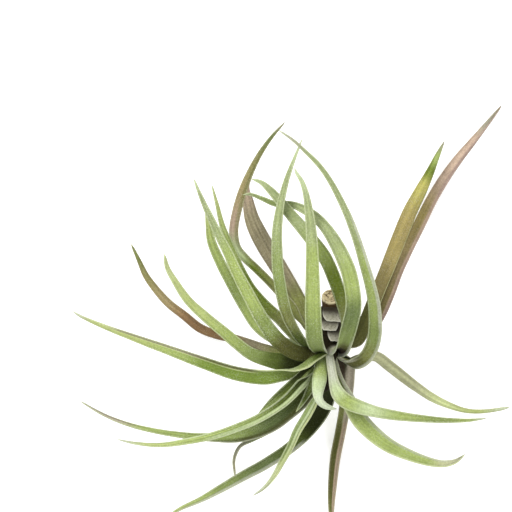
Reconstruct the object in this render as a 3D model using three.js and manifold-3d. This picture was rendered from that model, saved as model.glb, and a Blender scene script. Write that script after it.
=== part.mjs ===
// An air plant (a stemless rosette of channelled, tapering leaves on a short
// cut root stub), lying on its side as it does on a table.
// Millimetres. +Z is up from the table, the plant's own axis runs along -Y:
// the cut root stub points to +Y and the crown, where the leaves open, to -Y.
// The origin is the middle of the footprint, on the table.

import * as THREE from 'three';
import { mergeVertices } from 'three/addons/utils/BufferGeometryUtils.js';
import Module from 'manifold-3d';

const wasm = await Module();
wasm.setup();

// Driving sizes.

const clearance = 0.3;            // gap kept between pieces that touch
const leafThickness = 1.3;        // along the midrib of a full-width leaf
const tipThickness = 0.72;        // along the midrib at the tip
const rimThickness = 0.62;        // at the two margins
const fullWidth = 4.5;            // a leaf this wide has its full thickness and fold
const tipWidth = 0.9;             // where a leaf ends
const tipFold = 24;               // degrees, the shallow channel at the tip
const sliver = 0.02;              // detail below this is smoothed out of a cut
const shaving = 1e-4;             // cubic mm, an overlap too small to cut
const weld = 1e-4;                // points closer than this are one
const stepsPerSpan = 2;           // stations between two route points
const axisHeight = 50;            // of the plant's axis above the table

// The stem: radius against distance from the stub's cut end, along the axis.
const stemStart = new THREE.Vector3(19.2, 7, axisHeight);
const crownPoint = new THREE.Vector3(16.2, -36, axisHeight);
const stemProfile = [
  [0, 0], [4.6, 0], [5.6, 3], [6.4, 8], [6.8, 14],
  [6.6, 22], [5.8, 30], [4.4, 37], [2.4, 42], [0, 43.1],
];
const stemSides = 18;

// The cut root stub, a woody plug in the lower end of the stem.
const stubRadius = 4.7;
const stubTaper = 1.2;            // less radius at its inner end
const stubLength = 9;
const stubSides = 14;
const stubFacing = new THREE.Vector3(0, 0.8, 0.6);   // the knife cut's direction
const stubFaceCentre = new THREE.Vector3(19.6, 12.2, 51);

const palette = {
  green: '#98aa66', greyGreen: '#86996c', darkGreen: '#6b7a43', bloom: '#aebd8c',
  brown: '#957a5a', tan: '#a09270', yellowOlive: '#a59f5c', mauve: '#9b8474',
  sheath: '#a9a592', stub: '#c3ab80', stem: '#8d8a6e',
};

// Leaf table.
// route: [x, y, z, width] from the base to the tip.
// side: the leaf's bearing round the axis in degrees, 0 up and 90 towards +X.
// face: where the channel opens once clear of the stem; none for a leaf that
// recurves plainly, whose channel turns from the axis to the outside.
// turn: the two shares of the length between which it comes to that face.
// fold: half the arc that the cross-section spans, in degrees.
// clasp: the fold at a base that clasps the stem, and the share of the length
// at which the leaf has opened to its own fold.

const leaves = [
  { name: 'leaf_crown_tongue', side: 0, face: [0, 0.1, -1], fold: 52, colour: 'bloom',
    route: [[15.2, -15.5, 55.5, 4.5], [14.8, -19.5, 58, 5.4], [14.4, -23, 60.6, 6.6],
      [14, -26.5, 63, 7.3], [13.6, -30, 64.8, 7.2], [12.9, -35, 66, 5.9], [13, -38, 66, 4.8],
      [14, -40.6, 65, 4], [16.5, -42.7, 63.5, 3.2], [19.5, -43.8, 62, 2.2],
      [22.2, -44.3, 61, 0.9]] },
  { name: 'leaf_crown_left', side: -35, face: [0.5, -0.3, 0.8], fold: 46, colour: 'bloom',
    route: [[15.4, -29, 52, 4], [14.2, -33, 53.6, 5], [11, -40, 54.5, 5.6], [7, -47.5, 54, 5.6],
      [2.5, -55, 52.8, 5.2], [-1, -63, 51.2, 4.6], [-5, -70.5, 49.8, 4], [-9, -78, 48.4, 3],
      [-14, -84, 47.2, 2], [-19.5, -88, 46.5, 0.9]] },
  { name: 'leaf_crown_short', side: -75, face: [0.3, 0.2, 0.9], fold: 40, colour: 'greyGreen',
    route: [[13.8, -25.6, 50.8, 3.4], [12.2, -27.6, 50.4, 5], [10, -32.2, 49.4, 4.6],
      [7.2, -38, 48, 3.2], [4.6, -42.4, 47.2, 2], [2, -46, 46.5, 0.9]] },
  { name: 'leaf_crown_thin', side: -145, face: [0.1, 0.1, 1], fold: 40, colour: 'darkGreen',
    route: [[14.6, -31, 46.5, 2.4], [10, -36, 42, 2.4], [3, -44, 35.5, 2.4], [-4, -50.5, 31, 2.2],
      [-12, -56.5, 28, 2.1], [-20, -60.5, 26, 2], [-26, -63.6, 25, 1.9], [-29, -70, 24, 1.6],
      [-28.5, -79, 23, 0.9]] },
  { name: 'leaf_low_left', side: -175, face: [0, 0.1, 1], fold: 50, colour: 'darkGreen',
    route: [[16, -25, 45.6, 5], [17.4, -31, 41, 6.2], [18.4, -37.4, 33.5, 7],
      [16.4, -43.8, 27, 7.5], [11.6, -51.6, 21, 7.3], [5.4, -58.8, 16.5, 6.7],
      [-1.4, -65, 12.8, 6], [-8.4, -69.8, 9.8, 5.7], [-15.5, -74.2, 6.6, 5.5],
      [-23.5, -78.5, 3.8, 5.1], [-35, -85, 1.2, 4.2], [-46, -91, 0.3, 3], [-56, -95.5, 0.4, 2],
      [-63.5, -100, 1.2, 0.9]] },
  { name: 'leaf_long_left_lower', side: -125, face: [0, 0.62, 0.78], fold: 50, colour: 'green',
    route: [[13.6, -24, 47, 5.4], [11, -28.6, 44.8, 7.6], [7, -36.6, 41.6, 9.2],
      [-0.8, -46, 38, 10], [-11.6, -54.2, 35, 9.8], [-26, -59.1, 31.6, 8], [-43, -59.4, 28, 5.3],
      [-57, -58, 25, 4], [-69.5, -55.9, 22.4, 3.3], [-82, -52.8, 20, 2.7], [-94.5, -47.9, 18, 1.9],
      [-106.5, -41, 17, 0.9]] },
  { name: 'leaf_long_left_upper', side: -70, face: [0.1, 0.6, 0.79], fold: 50, colour: 'bloom',
    route: [[12.6, -22.5, 51.6, 4.6], [9.6, -26, 52.6, 5.2], [5, -31.5, 52.2, 5.6],
      [-3, -40.5, 50, 5.6], [-15.5, -49, 47, 5.4], [-28, -54.5, 44, 5.2], [-40.5, -58.6, 41, 4.8],
      [-53, -61.2, 38, 4], [-65.5, -62.8, 35.4, 3], [-78, -62, 33.2, 1.9], [-87.5, -60, 32, 0.9]] },
  { name: 'leaf_shaded_left', side: -100, face: [0, 0.4, 0.9], fold: 46, colour: 'darkGreen',
    route: [[12.6, -20, 48, 4], [9, -23.2, 46.6, 4.6], [5, -27.4, 45.2, 5], [0.6, -32, 44, 5.2],
      [-5.4, -37.4, 42.8, 5], [-11, -42.4, 41.4, 4], [-15.2, -46.6, 40.2, 2.6],
      [-18.6, -50, 39, 1]] },
  { name: 'leaf_right_upper', side: 25, face: [-0.15, 0.35, 0.93], turn: [-0.2, -0.1], fold: 54,
    colour: 'green',
    route: [[17.6, -11.4, 52.4, 2.8], [18, -14.6, 56, 3.3], [18.7, -18, 59.6, 3.9],
      [19.5, -22.4, 61.8, 4.4], [20.3, -27.6, 62.8, 4.6], [21.2, -32, 63.2, 5.6],
      [23.2, -37, 64, 7.3], [27, -40.8, 64.8, 7.8], [33, -43.5, 65.2, 7.3], [42, -46, 64.8, 6],
      [53.5, -48, 64, 5], [68, -49.5, 62, 3.8], [76.5, -50, 61, 3], [88, -50, 59.6, 1.9],
      [97, -49, 58.6, 0.9]] },
  { name: 'leaf_right_lower', side: 68, face: [-0.3, 0.45, 0.84], turn: [-0.2, -0.1], fold: 54,
    colour: 'green',
    route: [[20.6, -17.6, 52, 3], [21.4, -22, 53.6, 3.8], [22.6, -27.2, 54.8, 4.6],
      [24.4, -32.5, 55.6, 5.8], [26.8, -37.5, 55.8, 7], [30.2, -43.8, 55.6, 8.1],
      [36, -52.5, 55.2, 8.5], [47.5, -62.5, 54.2, 7.6], [59, -68, 52.8, 6.2],
      [70.5, -71.5, 51.6, 4.8], [76.5, -72, 51.2, 4], [82, -70.5, 51.6, 2.8], [86.5, -67, 53, 1]] },
  { name: 'leaf_down', side: 160, face: [0, 0, 1], fold: 48, colour: 'tan',
    route: [[20, -15.4, 45.6, 5.6], [24.4, -17.4, 41, 7.2], [27.4, -21, 34.5, 7.8],
      [27.6, -28, 26.5, 7.9], [27.4, -37, 18.8, 6.8], [26.4, -46, 12, 5.6], [24.5, -57, 6, 5.5],
      [22, -70, 2, 5.2], [20.5, -85, 0.3, 4.4], [20, -96, 0.9, 3], [20.5, -107.5, 3, 0.9]] },
  { name: 'leaf_long_left_top', side: -45, face: [0, -0.42, 0.9], turn: [0.04, 0.6], fold: 60,
    colour: 'green',
    route: [[16.4, -15.8, 57.6, 4.8], [12.8, -17.4, 60.4, 6], [9.4, -19.2, 62, 7.2],
      [5.4, -21.8, 63.2, 8.3], [-0.4, -24.6, 64, 9], [-6, -26.2, 64.4, 9.2], [-14, -27.4, 64.2, 9],
      [-28, -25.8, 62.6, 8], [-44.5, -20.6, 60, 6.8], [-61, -14.8, 57, 5.6],
      [-75.5, -9.8, 54, 4.5], [-94.5, -3, 51, 2.8], [-106, 2, 49, 1.5], [-110, 4.5, 48.2, 0.8]] },
  { name: 'leaf_left_bowed', side: -95, face: [0.25, 0.4, 0.88], fold: 50, colour: 'green',
    route: [[12.4, -16.8, 49.6, 6], [7, -19.6, 48.8, 8], [-0.5, -21.4, 46.8, 9],
      [-11, -20.6, 43.4, 8.6], [-21, -17.3, 39.6, 7.2], [-28, -12, 36.4, 6.6],
      [-35, -6, 33.6, 6.2], [-44.5, 2, 30.6, 5.6], [-52.5, 9.8, 28.6, 4.8], [-58, 18, 27.4, 3.9],
      [-62.5, 26, 27, 2.8], [-64, 33, 27.4, 1.4]] },
  { name: 'leaf_top_left', side: -62, face: [-0.15, -0.05, 1], turn: [-0.2, -0.1], fold: 50,
    colour: 'green',
    route: [[11.6, -15.4, 52.6, 6.2], [7.4, -16.6, 56, 7], [2.8, -16.2, 61, 7.6],
      [-2.2, -13.8, 66.6, 7.8], [-6.4, -10.4, 70.4, 7.8], [-10.8, -5.4, 73.4, 7.6],
      [-16.2, 2.8, 75.8, 7.2], [-20, 9.8, 76.6, 6.8], [-24.2, 17.6, 77, 6.3],
      [-28.2, 25.4, 76.8, 5.7], [-31.6, 33, 75.6, 5.1], [-35.4, 40.4, 73.8, 4.6],
      [-39, 47.6, 71.8, 4], [-42.4, 54.8, 69.6, 3.2], [-45.6, 62, 67.2, 2.2],
      [-49, 70.5, 64, 0.9]] },
  { name: 'leaf_top_middle', side: -5, face: null, fold: 50, clasp: [64, 0.22], colour: 'green',
    route: [[15.6, -15.4, 54.5, 6.2], [14.6, -15, 60, 7.2], [13.2, -13.4, 67.4, 8.1],
      [12.2, -11.6, 76, 8.5], [11.2, -8.2, 84, 8.6], [10.6, 0, 90, 8.4], [10.3, 9.5, 93, 7.8],
      [10, 30, 95, 6.6], [9.5, 43, 94, 5.6], [8, 56, 91, 4.2], [6.5, 64, 88.4, 3.1],
      [4.5, 69.5, 86, 2.4], [2, 73.5, 83.6, 1.6], [1, 76, 82, 0.9]] },
  { name: 'leaf_top_right', side: 42, face: [0.15, 0, 1], turn: [0.1, 0.3], fold: 54,
    clasp: [124, 0.34], colour: 'green',
    route: [[20.4, -9, 51, 6], [21.2, -12, 54, 7], [22.4, -13.6, 59.4, 7.6],
      [24.2, -12.6, 68, 8.1], [26.6, -6.6, 77.6, 8.4], [28.8, 0, 84.8, 8.3], [30, 5.8, 88.8, 8.2],
      [30, 11.5, 91.2, 8], [28, 23, 93, 7.8], [24.8, 31.5, 92.4, 7.5], [20.4, 40, 90, 6.6],
      [16.4, 46, 87, 5.8], [11.4, 51.4, 82.6, 5.2], [5.6, 55.2, 77.4, 4.5],
      [-0.5, 57.6, 72.4, 3.6], [-8.5, 58, 69, 3], [-15, 60.6, 67.6, 2.4], [-21, 62.8, 66.8, 1.6],
      [-24.5, 62.5, 66.4, 0.8]] },
  { name: 'leaf_right_hoop', side: 82, face: [0.2, 0, 1], turn: [0.02, 0.2], fold: 50,
    colour: 'green',
    route: [[22.4, -17.6, 50.6, 4.4], [26, -20.4, 52.6, 5.4], [30, -21.4, 55.2, 6.2],
      [33.8, -20.6, 58.2, 6.9], [37.4, -17.2, 62.4, 7.4], [39.8, -12, 66.6, 7.4],
      [41, -5.6, 71, 7.2], [41.1, 0.5, 74.4, 6.9], [40.6, 7.5, 77.6, 6.5], [39, 16, 80.5, 5.8],
      [35.8, 27.5, 83, 5.1], [32, 40, 84.4, 4.5], [27.3, 52.5, 84.4, 3.9], [19, 69, 82, 3],
      [13, 77.5, 79.4, 2.6], [6.5, 84, 76.6, 2.1], [0, 90, 73.6, 1.6], [-6.5, 94.5, 71, 0.9]] },
  { name: 'leaf_top_second', side: -38, face: null, fold: 48, colour: 'greyGreen',
    route: [[12.2, -12.6, 54, 5.6], [9.6, -12.8, 59, 6.6], [6.4, -10.9, 65, 7.4],
      [3, -6.4, 71, 7.7], [-0.3, -0.6, 75.6, 7.8], [-2.9, 6.5, 79.6, 7.8], [-5, 16, 82.6, 7.6],
      [-6.5, 26, 84, 7.3], [-7, 36, 84, 6.9], [-6.9, 46, 83.2, 6.2], [-5.4, 58, 81.6, 4.9],
      [-3, 68.5, 79.2, 3.7], [-0.6, 76, 76.8, 2.8], [5, 90.5, 71.6, 0.9]] },
  { name: 'leaf_top_inner', side: 60, face: [0.3, -0.1, 1], turn: [0.18, 0.4], fold: 46,
    colour: 'darkGreen',
    route: [[22.6, -14, 53, 4.6], [25, -11.4, 57, 5.8], [26.2, -6.4, 62.6, 6.4],
      [26, -0.4, 68, 6.8], [24.4, 8.6, 74.6, 7], [20.8, 20.4, 79.8, 7], [15.8, 31.6, 81.8, 7],
      [10, 39.4, 81.6, 6.8], [4.2, 46.6, 80, 6.4], [-1.2, 53, 78, 5.8], [-6, 59, 76, 5],
      [-11.2, 65, 74, 3.8], [-15.4, 68.6, 72.8, 2.4], [-20.5, 70.5, 71.8, 0.9]] },
  { name: 'leaf_left_inner', side: -66, face: [0.4, 0.45, 0.8], turn: [-0.2, -0.1], fold: 46,
    colour: 'darkGreen',
    route: [[10.6, -12.6, 54, 4.4], [6.6, -12, 54.8, 5.4], [2.4, -9.6, 55.6, 6.4],
      [-2, -5, 56.8, 7], [-6.6, 0.2, 57.8, 7.2], [-11.4, 4.4, 58.4, 7.2], [-16, 9, 58.4, 7],
      [-21, 15.2, 58, 6.6], [-26, 24.6, 57, 5.8], [-31, 36.6, 56, 4.6], [-35, 47.5, 55, 3.4],
      [-37.4, 57.5, 54, 2.2], [-40, 67.5, 53, 0.9]] },
  { name: 'leaf_left_far', side: -100, face: [0, 0.1, 1], fold: 46, colour: 'green',
    route: [[12.4, -9.5, 48.8, 4.6], [6, -12.4, 47, 5.2], [-1, -12, 45, 5.4], [-9, -9.4, 43, 5.6],
      [-17, -3.6, 41.4, 5.6], [-23.5, 6, 40, 5.6], [-30, 17.5, 38.8, 5.5], [-36, 29, 38, 5.2],
      [-40.4, 39.5, 38.4, 4.5], [-42, 49, 39, 2.9], [-43.2, 57.5, 40, 0.9]] },
  { name: 'leaf_right_low', side: 118, face: [0.2, 0.4, -0.9], fold: 46, colour: 'yellowOlive',
    route: [[22, -17, 46.4, 4], [25.6, -19.4, 41.6, 4.8], [30.4, -20.4, 36.4, 5.4],
      [36, -19.8, 31.4, 5.8], [42, -18.8, 27.2, 6.1], [49.4, -24, 22.4, 6.2], [55.8, -29, 19, 6],
      [63, -34.4, 15.8, 5.4], [71.3, -39.8, 10.6, 4.8], [82, -44.4, 5.6, 3.4],
      [89, -46.2, 2.8, 2.5], [97, -46.4, 0.9, 2.1], [106, -45.2, 0.4, 1.7],
      [110, -44.2, 0.6, 1.1]] },
  { name: 'leaf_olive_turned', side: -88, face: [0.1, 0.1, 1], fold: 44, colour: 'tan',
    route: [[13.6, -2, 49, 4.4], [8.6, -3.4, 46, 5.4], [3.8, 1.6, 43.4, 5.6], [-0.8, 7.6, 42, 5],
      [-5.5, 12.8, 41, 4.2], [-11.8, 19.6, 40, 4.2], [-17.7, 25.4, 39.6, 4.2],
      [-23, 30.4, 39.6, 4.4], [-27.6, 36, 40, 4.6], [-29.2, 44, 41, 4.8], [-27.2, 56, 42.4, 4.8],
      [-23.4, 68, 44, 4.2], [-17, 81.5, 46.4, 3], [-10.6, 91, 48.4, 2], [-3.5, 99, 50, 0.9]] },
  { name: 'leaf_brown_left', side: -128, face: [-0.2, 0.1, -1], fold: 44, colour: 'brown',
    route: [[13.2, -5, 46.8, 4], [8.6, -10, 41.6, 4.4], [2, -14.4, 35, 4.6], [-6, -16, 28.6, 4.6],
      [-14, -14.4, 23.4, 4.6], [-22, -11.8, 18.8, 4.6], [-30, -9.4, 14.8, 4.6],
      [-38.6, -7.4, 11.4, 4.6], [-46.5, -4.2, 8, 4.6], [-54, 1.8, 5, 4.4], [-62, 8, 2.6, 4.2],
      [-68, 14.5, 1.3, 3.8], [-73.5, 22, 0.7, 3.2], [-77, 29.5, 0.5, 2.2], [-81, 38, 1.1, 0.9]] },
  { name: 'leaf_brown_wide', side: 178, face: [-0.1, 0, -1], fold: 40, colour: 'brown',
    route: [[17.6, 0.6, 46, 4.6], [15.6, -4.6, 39.6, 6], [12.4, -5.2, 33, 7.4],
      [8.2, -0.4, 26, 8.2], [3, 9.6, 18.6, 8.6], [-2.6, 19.6, 12.8, 8.8], [-7.8, 28.4, 8.2, 8.8],
      [-12.6, 36, 4.6, 8.8], [-17, 44, 2.3, 8.6], [-20, 51, 1, 7.6], [-22, 60, 0.6, 5.6],
      [-23, 66, 0.8, 3.4], [-21.5, 71, 1.5, 1.1]] },
  { name: 'leaf_olive_right', side: 104, face: [0.1, 0.1, -1], fold: 40, colour: 'yellowOlive',
    route: [[22, -11.6, 47.4, 5], [26.4, -13, 43.6, 6.6], [32, -10.4, 39.4, 7.4],
      [37, -1.4, 34, 7.4], [42.4, 12.4, 27.4, 7], [47.8, 25.4, 22.6, 7.2], [53.5, 39.7, 18.4, 7.6],
      [59.4, 54, 15, 7.4], [65.3, 65.5, 12.6, 6.2], [69.8, 74.5, 11.2, 4.4], [73.6, 83, 10.4, 2.7],
      [77, 90, 10, 0.9]] },
  { name: 'leaf_mauve_right', side: 140, face: [0.1, 0.1, -1], fold: 40, colour: 'mauve',
    route: [[20.6, 0.5, 46, 4.4], [25.4, -5.2, 40, 5], [31.6, -8, 34, 5.6], [38.4, -5.2, 28.4, 6],
      [43.6, 1.8, 23.8, 6.2], [48.6, 12.8, 19, 6.3], [53, 24.4, 14.8, 6.2], [58.6, 36.4, 10, 6.2],
      [64.4, 48, 6.2, 6.2], [70.4, 60, 3.4, 5.8], [77, 71, 1.7, 5.4], [84.5, 81.5, 0.8, 4.8],
      [91.5, 90, 0.4, 3.8], [100, 100.5, 0.6, 2.2], [106, 108, 1.4, 0.9]] },
];

// Old leaf bases, dried to grey scales that clasp the neck of the stem.
// at: distance along the axis; side: bearing; reach: length; lift: how far the
// free edge stands off; span: half the arc it clasps, in degrees.
const sheaths = [
  { name: 'sheath_low', at: 0.6, side: 24, reach: 7, lift: 1.2, span: 60 },
  { name: 'sheath_middle', at: 5.6, side: 2, reach: 6.6, lift: 1.7, span: 36 },
  { name: 'sheath_high', at: 10.8, side: 24, reach: 6.6, lift: 2.1, span: 30 },
  { name: 'sheath_back', at: 1, side: -150, reach: 5.4, lift: 1, span: 44 },
];
const sheathThickness = 0.9;
const sheathSeat = 0.55;          // its inside stands this far off the stem
const sheathRows = 4;
const sheathColumns = 6;
const sheathTaper = 0.72;         // share of the span lost towards the free edge, squared

// Frames and solids.

const axis = crownPoint.clone().sub(stemStart).normalize();
const up = new THREE.Vector3(0, 0, 1).addScaledVector(axis, -axis.z).normalize();
const across = new THREE.Vector3().crossVectors(up, axis).normalize();   // towards +X

// Unit vector away from the axis at a bearing.
function outward(degrees) {
  const a = THREE.MathUtils.degToRad(degrees);
  return up.clone().multiplyScalar(Math.cos(a)).addScaledVector(across, Math.sin(a));
}

// Radius of the stem at a distance along its axis.
function stemRadius(distance) {
  for (let i = 1; i < stemProfile.length; i++) {
    const [r0, d0] = stemProfile[i - 1];
    const [r1, d1] = stemProfile[i];
    if (distance <= d1 && d1 > d0) return r0 + (r1 - r0) * (distance - d0) / (d1 - d0);
  }
  return 0;
}

// A closed solid of loops of equal length, each loop joined to the next and
// the first and last closed by fans.
function loft(loops) {
  const n = loops[0].length;
  const positions = [];
  const index = [];
  for (const p of loops.flat()) positions.push(p.x, p.y, p.z);
  for (let k = 0; k < loops.length - 1; k++) {
    for (let i = 0; i < n; i++) {
      const a = k * n + i;
      const b = k * n + (i + 1) % n;
      index.push(a, b, b + n, a, b + n, a + n);
    }
  }
  const last = (loops.length - 1) * n;
  for (let i = 1; i < n - 1; i++) {
    index.push(0, i + 1, i);
    index.push(last, last + i, last + i + 1);
  }
  const geometry = new THREE.BufferGeometry();
  geometry.setAttribute('position', new THREE.Float32BufferAttribute(positions, 3));
  geometry.setIndex(index);
  return geometry;
}

function toSolid(geometry) {
  const bare = geometry.clone();
  bare.deleteAttribute('normal');
  bare.deleteAttribute('uv');
  const merged = mergeVertices(bare, weld);
  return new wasm.Manifold(new wasm.Mesh({
    numProp: 3,
    vertProperties: new Float32Array(merged.attributes.position.array),
    triVerts: new Uint32Array(merged.index.array),
  }));
}

function toGeometry(solid) {
  const mesh = solid.getMesh();
  const geometry = new THREE.BufferGeometry();
  geometry.setAttribute('position', new THREE.Float32BufferAttribute(mesh.vertProperties, 3));
  geometry.setIndex(Array.from(mesh.triVerts));
  return geometry;
}

// The largest body of a cut piece, without the shavings and the finest slivers.
function mainBody(solid) {
  return solid.decompose().sort((a, b) => b.volume() - a.volume())[0].simplify(sliver);
}

// Where a loop has its points across a leaf; a clasping leaf, bent further
// round, has more of them.
const plainPlaces = { outer: [-1, -0.55, 0, 0.55, 1], inner: [1, 0, -1] };
const claspPlaces = { outer: [-1, -0.67, -0.33, 0, 0.33, 0.67, 1], inner: [1, 0.5, 0, -0.5, -1] };

// One loop across a leaf: from the left rim over the outside to the right rim,
// and back over the inside of the channel.
function leafLoop(centre, side, open, width, thickness, rim, fold, places) {
  const half = THREE.MathUtils.degToRad(fold);
  const radius = width / 2 / Math.sin(half);
  const at = (s, offset) => {
    const r = radius - offset;
    const x = r * Math.sin(half * s);
    const y = radius - r * Math.cos(half * s) - thickness / 2;
    return centre.clone().addScaledVector(side, x).addScaledVector(open, y);
  };
  return [
    ...places.outer.map((s) => at(s, 0)),
    ...places.inner.map((s) => at(s, THREE.MathUtils.lerp(thickness, rim, s * s))),
  ];
}

// A leaf as a closed solid; extra is added all round for the space it needs.
function leafGeometry(leaf, extra = 0) {
  const points = leaf.route.map(([x, y, z]) => new THREE.Vector3(x, y, z));
  const curve = new THREE.CatmullRomCurve3(points, false, 'centripetal');
  const spans = points.length - 1;
  const count = spans * stepsPerSpan;
  const away = outward(leaf.side);
  const places = leaf.clasp ? claspPlaces : plainPlaces;
  const loops = [];
  for (let k = 0; k <= count; k++) {
    const t = k / count;
    const here = curve.getPoint(t);
    const along = curve.getTangent(t);
    const natural = axis.clone().multiplyScalar(along.dot(away))
      .addScaledVector(away, -along.dot(axis));
    const open = natural.normalize();
    if (leaf.face) {
      const [from, to] = leaf.turn ?? [0.02, 0.3];
      open.lerp(new THREE.Vector3(...leaf.face), THREE.MathUtils.smoothstep(t, from, to));
    }
    open.addScaledVector(along, -open.dot(along)).normalize();
    const side = new THREE.Vector3().crossVectors(open, along).normalize();
    const span = Math.min(Math.floor(t * spans), spans - 1);
    const width = THREE.MathUtils.lerp(leaf.route[span][3], leaf.route[span + 1][3], t * spans - span);
    const full = THREE.MathUtils.smoothstep(width, tipWidth, fullWidth);
    const thickness = THREE.MathUtils.lerp(tipThickness, leafThickness, full) + 2 * extra;
    const [held, until] = leaf.clasp ?? [leaf.fold, 1];
    const opened = THREE.MathUtils.lerp(held, leaf.fold, THREE.MathUtils.smoothstep(t, 0, until));
    const fold = THREE.MathUtils.lerp(tipFold, opened, full);
    if (extra && k === 0) here.addScaledVector(along, -extra);
    if (extra && k === count) here.addScaledVector(along, extra);
    const rim = rimThickness + 2 * extra;
    loops.push(leafLoop(here, side, open, width + 2 * extra, thickness, rim, fold, places));
  }
  return loft(loops);
}

// A dried basal scale: a curved plate that clasps the stem.
function sheathGeometry(sheath, extra = 0) {
  const loops = [];
  for (let k = 0; k <= sheathRows; k++) {
    const t = k / sheathRows;
    const distance = sheath.at + sheath.reach * t;
    const spread = sheath.span * Math.sqrt(1 - sheathTaper * t * t) + 4 * extra;
    const gapOut = sheathSeat + sheath.lift * t * t;
    const ring = [];
    for (let j = sheathColumns; j >= 0; j--) {
      ring.push({ s: -1 + 2 * j / sheathColumns, offset: gapOut + sheathThickness + extra });
    }
    for (let j = 0; j <= sheathColumns; j++) {
      ring.push({ s: -1 + 2 * j / sheathColumns, offset: gapOut - extra });
    }
    loops.push(ring.map(({ s, offset }) => stemStart.clone().addScaledVector(axis, distance)
      .addScaledVector(outward(sheath.side + s * spread), stemRadius(distance) + offset)));
  }
  return loft(loops);
}

function stemGeometry() {
  const profile = stemProfile.map(([r, d]) => new THREE.Vector2(r, d));
  const geometry = new THREE.LatheGeometry(profile, stemSides);
  const place = new THREE.Matrix4().makeBasis(across.clone().negate(), axis, up);
  place.setPosition(stemStart);
  return geometry.applyMatrix4(place);
}

// The stub is a plug whose outer end is cut square to stubFacing.
function stubGeometry(extra = 0) {
  const innerCentre = stubFaceCentre.clone().addScaledVector(axis, stubLength + extra);
  const inner = [];
  const outer = [];
  for (let i = 0; i < stubSides; i++) {
    const away = outward(360 * i / stubSides);
    inner.push(innerCentre.clone().addScaledVector(away, stubRadius - stubTaper + extra));
    const p = stubFaceCentre.clone().addScaledVector(away, stubRadius + extra);
    const drop = p.clone().sub(stubFaceCentre).dot(stubFacing) / axis.dot(stubFacing);
    outer.push(p.addScaledVector(axis, -drop));
  }
  return loft([inner, outer]);
}

// Assembly.

const group = new THREE.Group();
const leafRoughness = 0.75;
const dryRoughness = 0.9;

function addMesh(name, geometry, colour, roughness) {
  const material = new THREE.MeshStandardMaterial({ color: colour, roughness, metalness: 0 });
  const mesh = new THREE.Mesh(geometry, material);
  mesh.name = name;
  group.add(mesh);
}

// What lies under the table's surface is shaved off, which leaves the small
// flat spots that the plant rests on.
const tableSpan = 400;
const tableDepth = 60;
const tableBlock = toSolid(new THREE.BoxGeometry(tableSpan, tableSpan, tableDepth)
  .translate(0, 0, -tableDepth / 2));

const placed = [];
for (const leaf of leaves) {
  let solid = toSolid(leafGeometry(leaf));
  if (solid.boundingBox().min[2] < 0) solid = mainBody(solid.subtract(tableBlock));
  for (const other of placed) {
    if (solid.intersect(other.space).volume() > shaving) solid = mainBody(solid.subtract(other.space));
  }
  placed.push({ leaf, solid, space: toSolid(leafGeometry(leaf, clearance)) });
}

let stem = toSolid(stemGeometry());
const stubSpace = toSolid(stubGeometry(clearance));
stem = stem.subtract(stubSpace);
for (const { space } of placed) stem = stem.subtract(space);
stem = mainBody(stem);

for (const { leaf, solid } of placed) {
  addMesh(leaf.name, toGeometry(solid), palette[leaf.colour], leafRoughness);
}
for (const sheath of sheaths) {
  let solid = toSolid(sheathGeometry(sheath));
  for (const { space } of placed) {
    if (solid.intersect(space).volume() > shaving) solid = solid.subtract(space);
  }
  addMesh(sheath.name, toGeometry(mainBody(solid)), palette.sheath, dryRoughness);
  placed.push({ space: toSolid(sheathGeometry(sheath, clearance)) });
}
addMesh('stem_core', toGeometry(stem), palette.stem, dryRoughness);
addMesh('root_stub', stubGeometry(), palette.stub, dryRoughness);

export default group;
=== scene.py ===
import math

import bpy
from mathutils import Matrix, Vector, noise


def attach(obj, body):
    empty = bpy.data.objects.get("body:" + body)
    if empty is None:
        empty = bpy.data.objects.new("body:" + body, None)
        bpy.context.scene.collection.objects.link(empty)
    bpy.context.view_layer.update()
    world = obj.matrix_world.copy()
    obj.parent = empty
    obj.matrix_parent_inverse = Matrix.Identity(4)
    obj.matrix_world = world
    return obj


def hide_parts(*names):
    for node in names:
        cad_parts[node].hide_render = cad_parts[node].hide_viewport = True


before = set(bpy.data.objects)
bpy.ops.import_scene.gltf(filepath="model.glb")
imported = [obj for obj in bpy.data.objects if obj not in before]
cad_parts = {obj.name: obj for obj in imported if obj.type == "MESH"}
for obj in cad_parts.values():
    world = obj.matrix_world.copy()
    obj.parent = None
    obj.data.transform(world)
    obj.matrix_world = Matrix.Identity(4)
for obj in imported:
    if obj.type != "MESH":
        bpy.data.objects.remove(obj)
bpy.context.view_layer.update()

mm = 0.001
lightLevel = 1.5    # how much brighter than plain white the studio makes the floor

# sRGB tones of the leaf tissue: greens from deep shade to bloom, olives, then dry browns; the
# darkest ones, from the near-black brown through gloom and deep to shade, are painted shade for
# where the leaves tuck into the crown and under each other
tones = {
    "hollowShade": "#2a1d0b", "gloom": "#282e0b", "deep": "#3b4518", "shade": "#566427",
    "moss": "#6f802c", "fern": "#788e3c", "glaucousDeep": "#6f7e4c", "glaucous": "#869654",
    "sage": "#9da975", "fresh": "#a2b266", "light": "#bac67b", "pale": "#d5df9f",
    "bloom": "#c0cf9c", "bloomWhite": "#dbe6c4", "silver": "#cbceb9", "grey": "#b0af97",
    "oliveDeep": "#5a5b2c", "olive": "#80854a", "oliveTan": "#8f8a58", "brownOlive": "#857a4e",
    "yellowOlive": "#b0aa5e", "yellowTan": "#a8995f", "tan": "#a5966a", "straw": "#c0c296",
    "ashDeep": "#8c8468", "ash": "#a79e88", "ashPale": "#c2b8a4", "pinkTan": "#bfa792",
    "mauve": "#c3a79c", "brown": "#8a6d4c", "brownDeep": "#4d3f23", "greyTip": "#a3a08b",
    "dryTip": "#94876a", "rim": "#dae2b9", "dryRim": "#cdbfa0",
}


def linear(hexColour):
    channels = [int(hexColour[i:i + 2], 16) / 255 for i in (1, 3, 5)]
    return [c / 12.92 if c <= 0.04045 else ((c + 0.055) / 1.055) ** 2.4 for c in channels]


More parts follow.
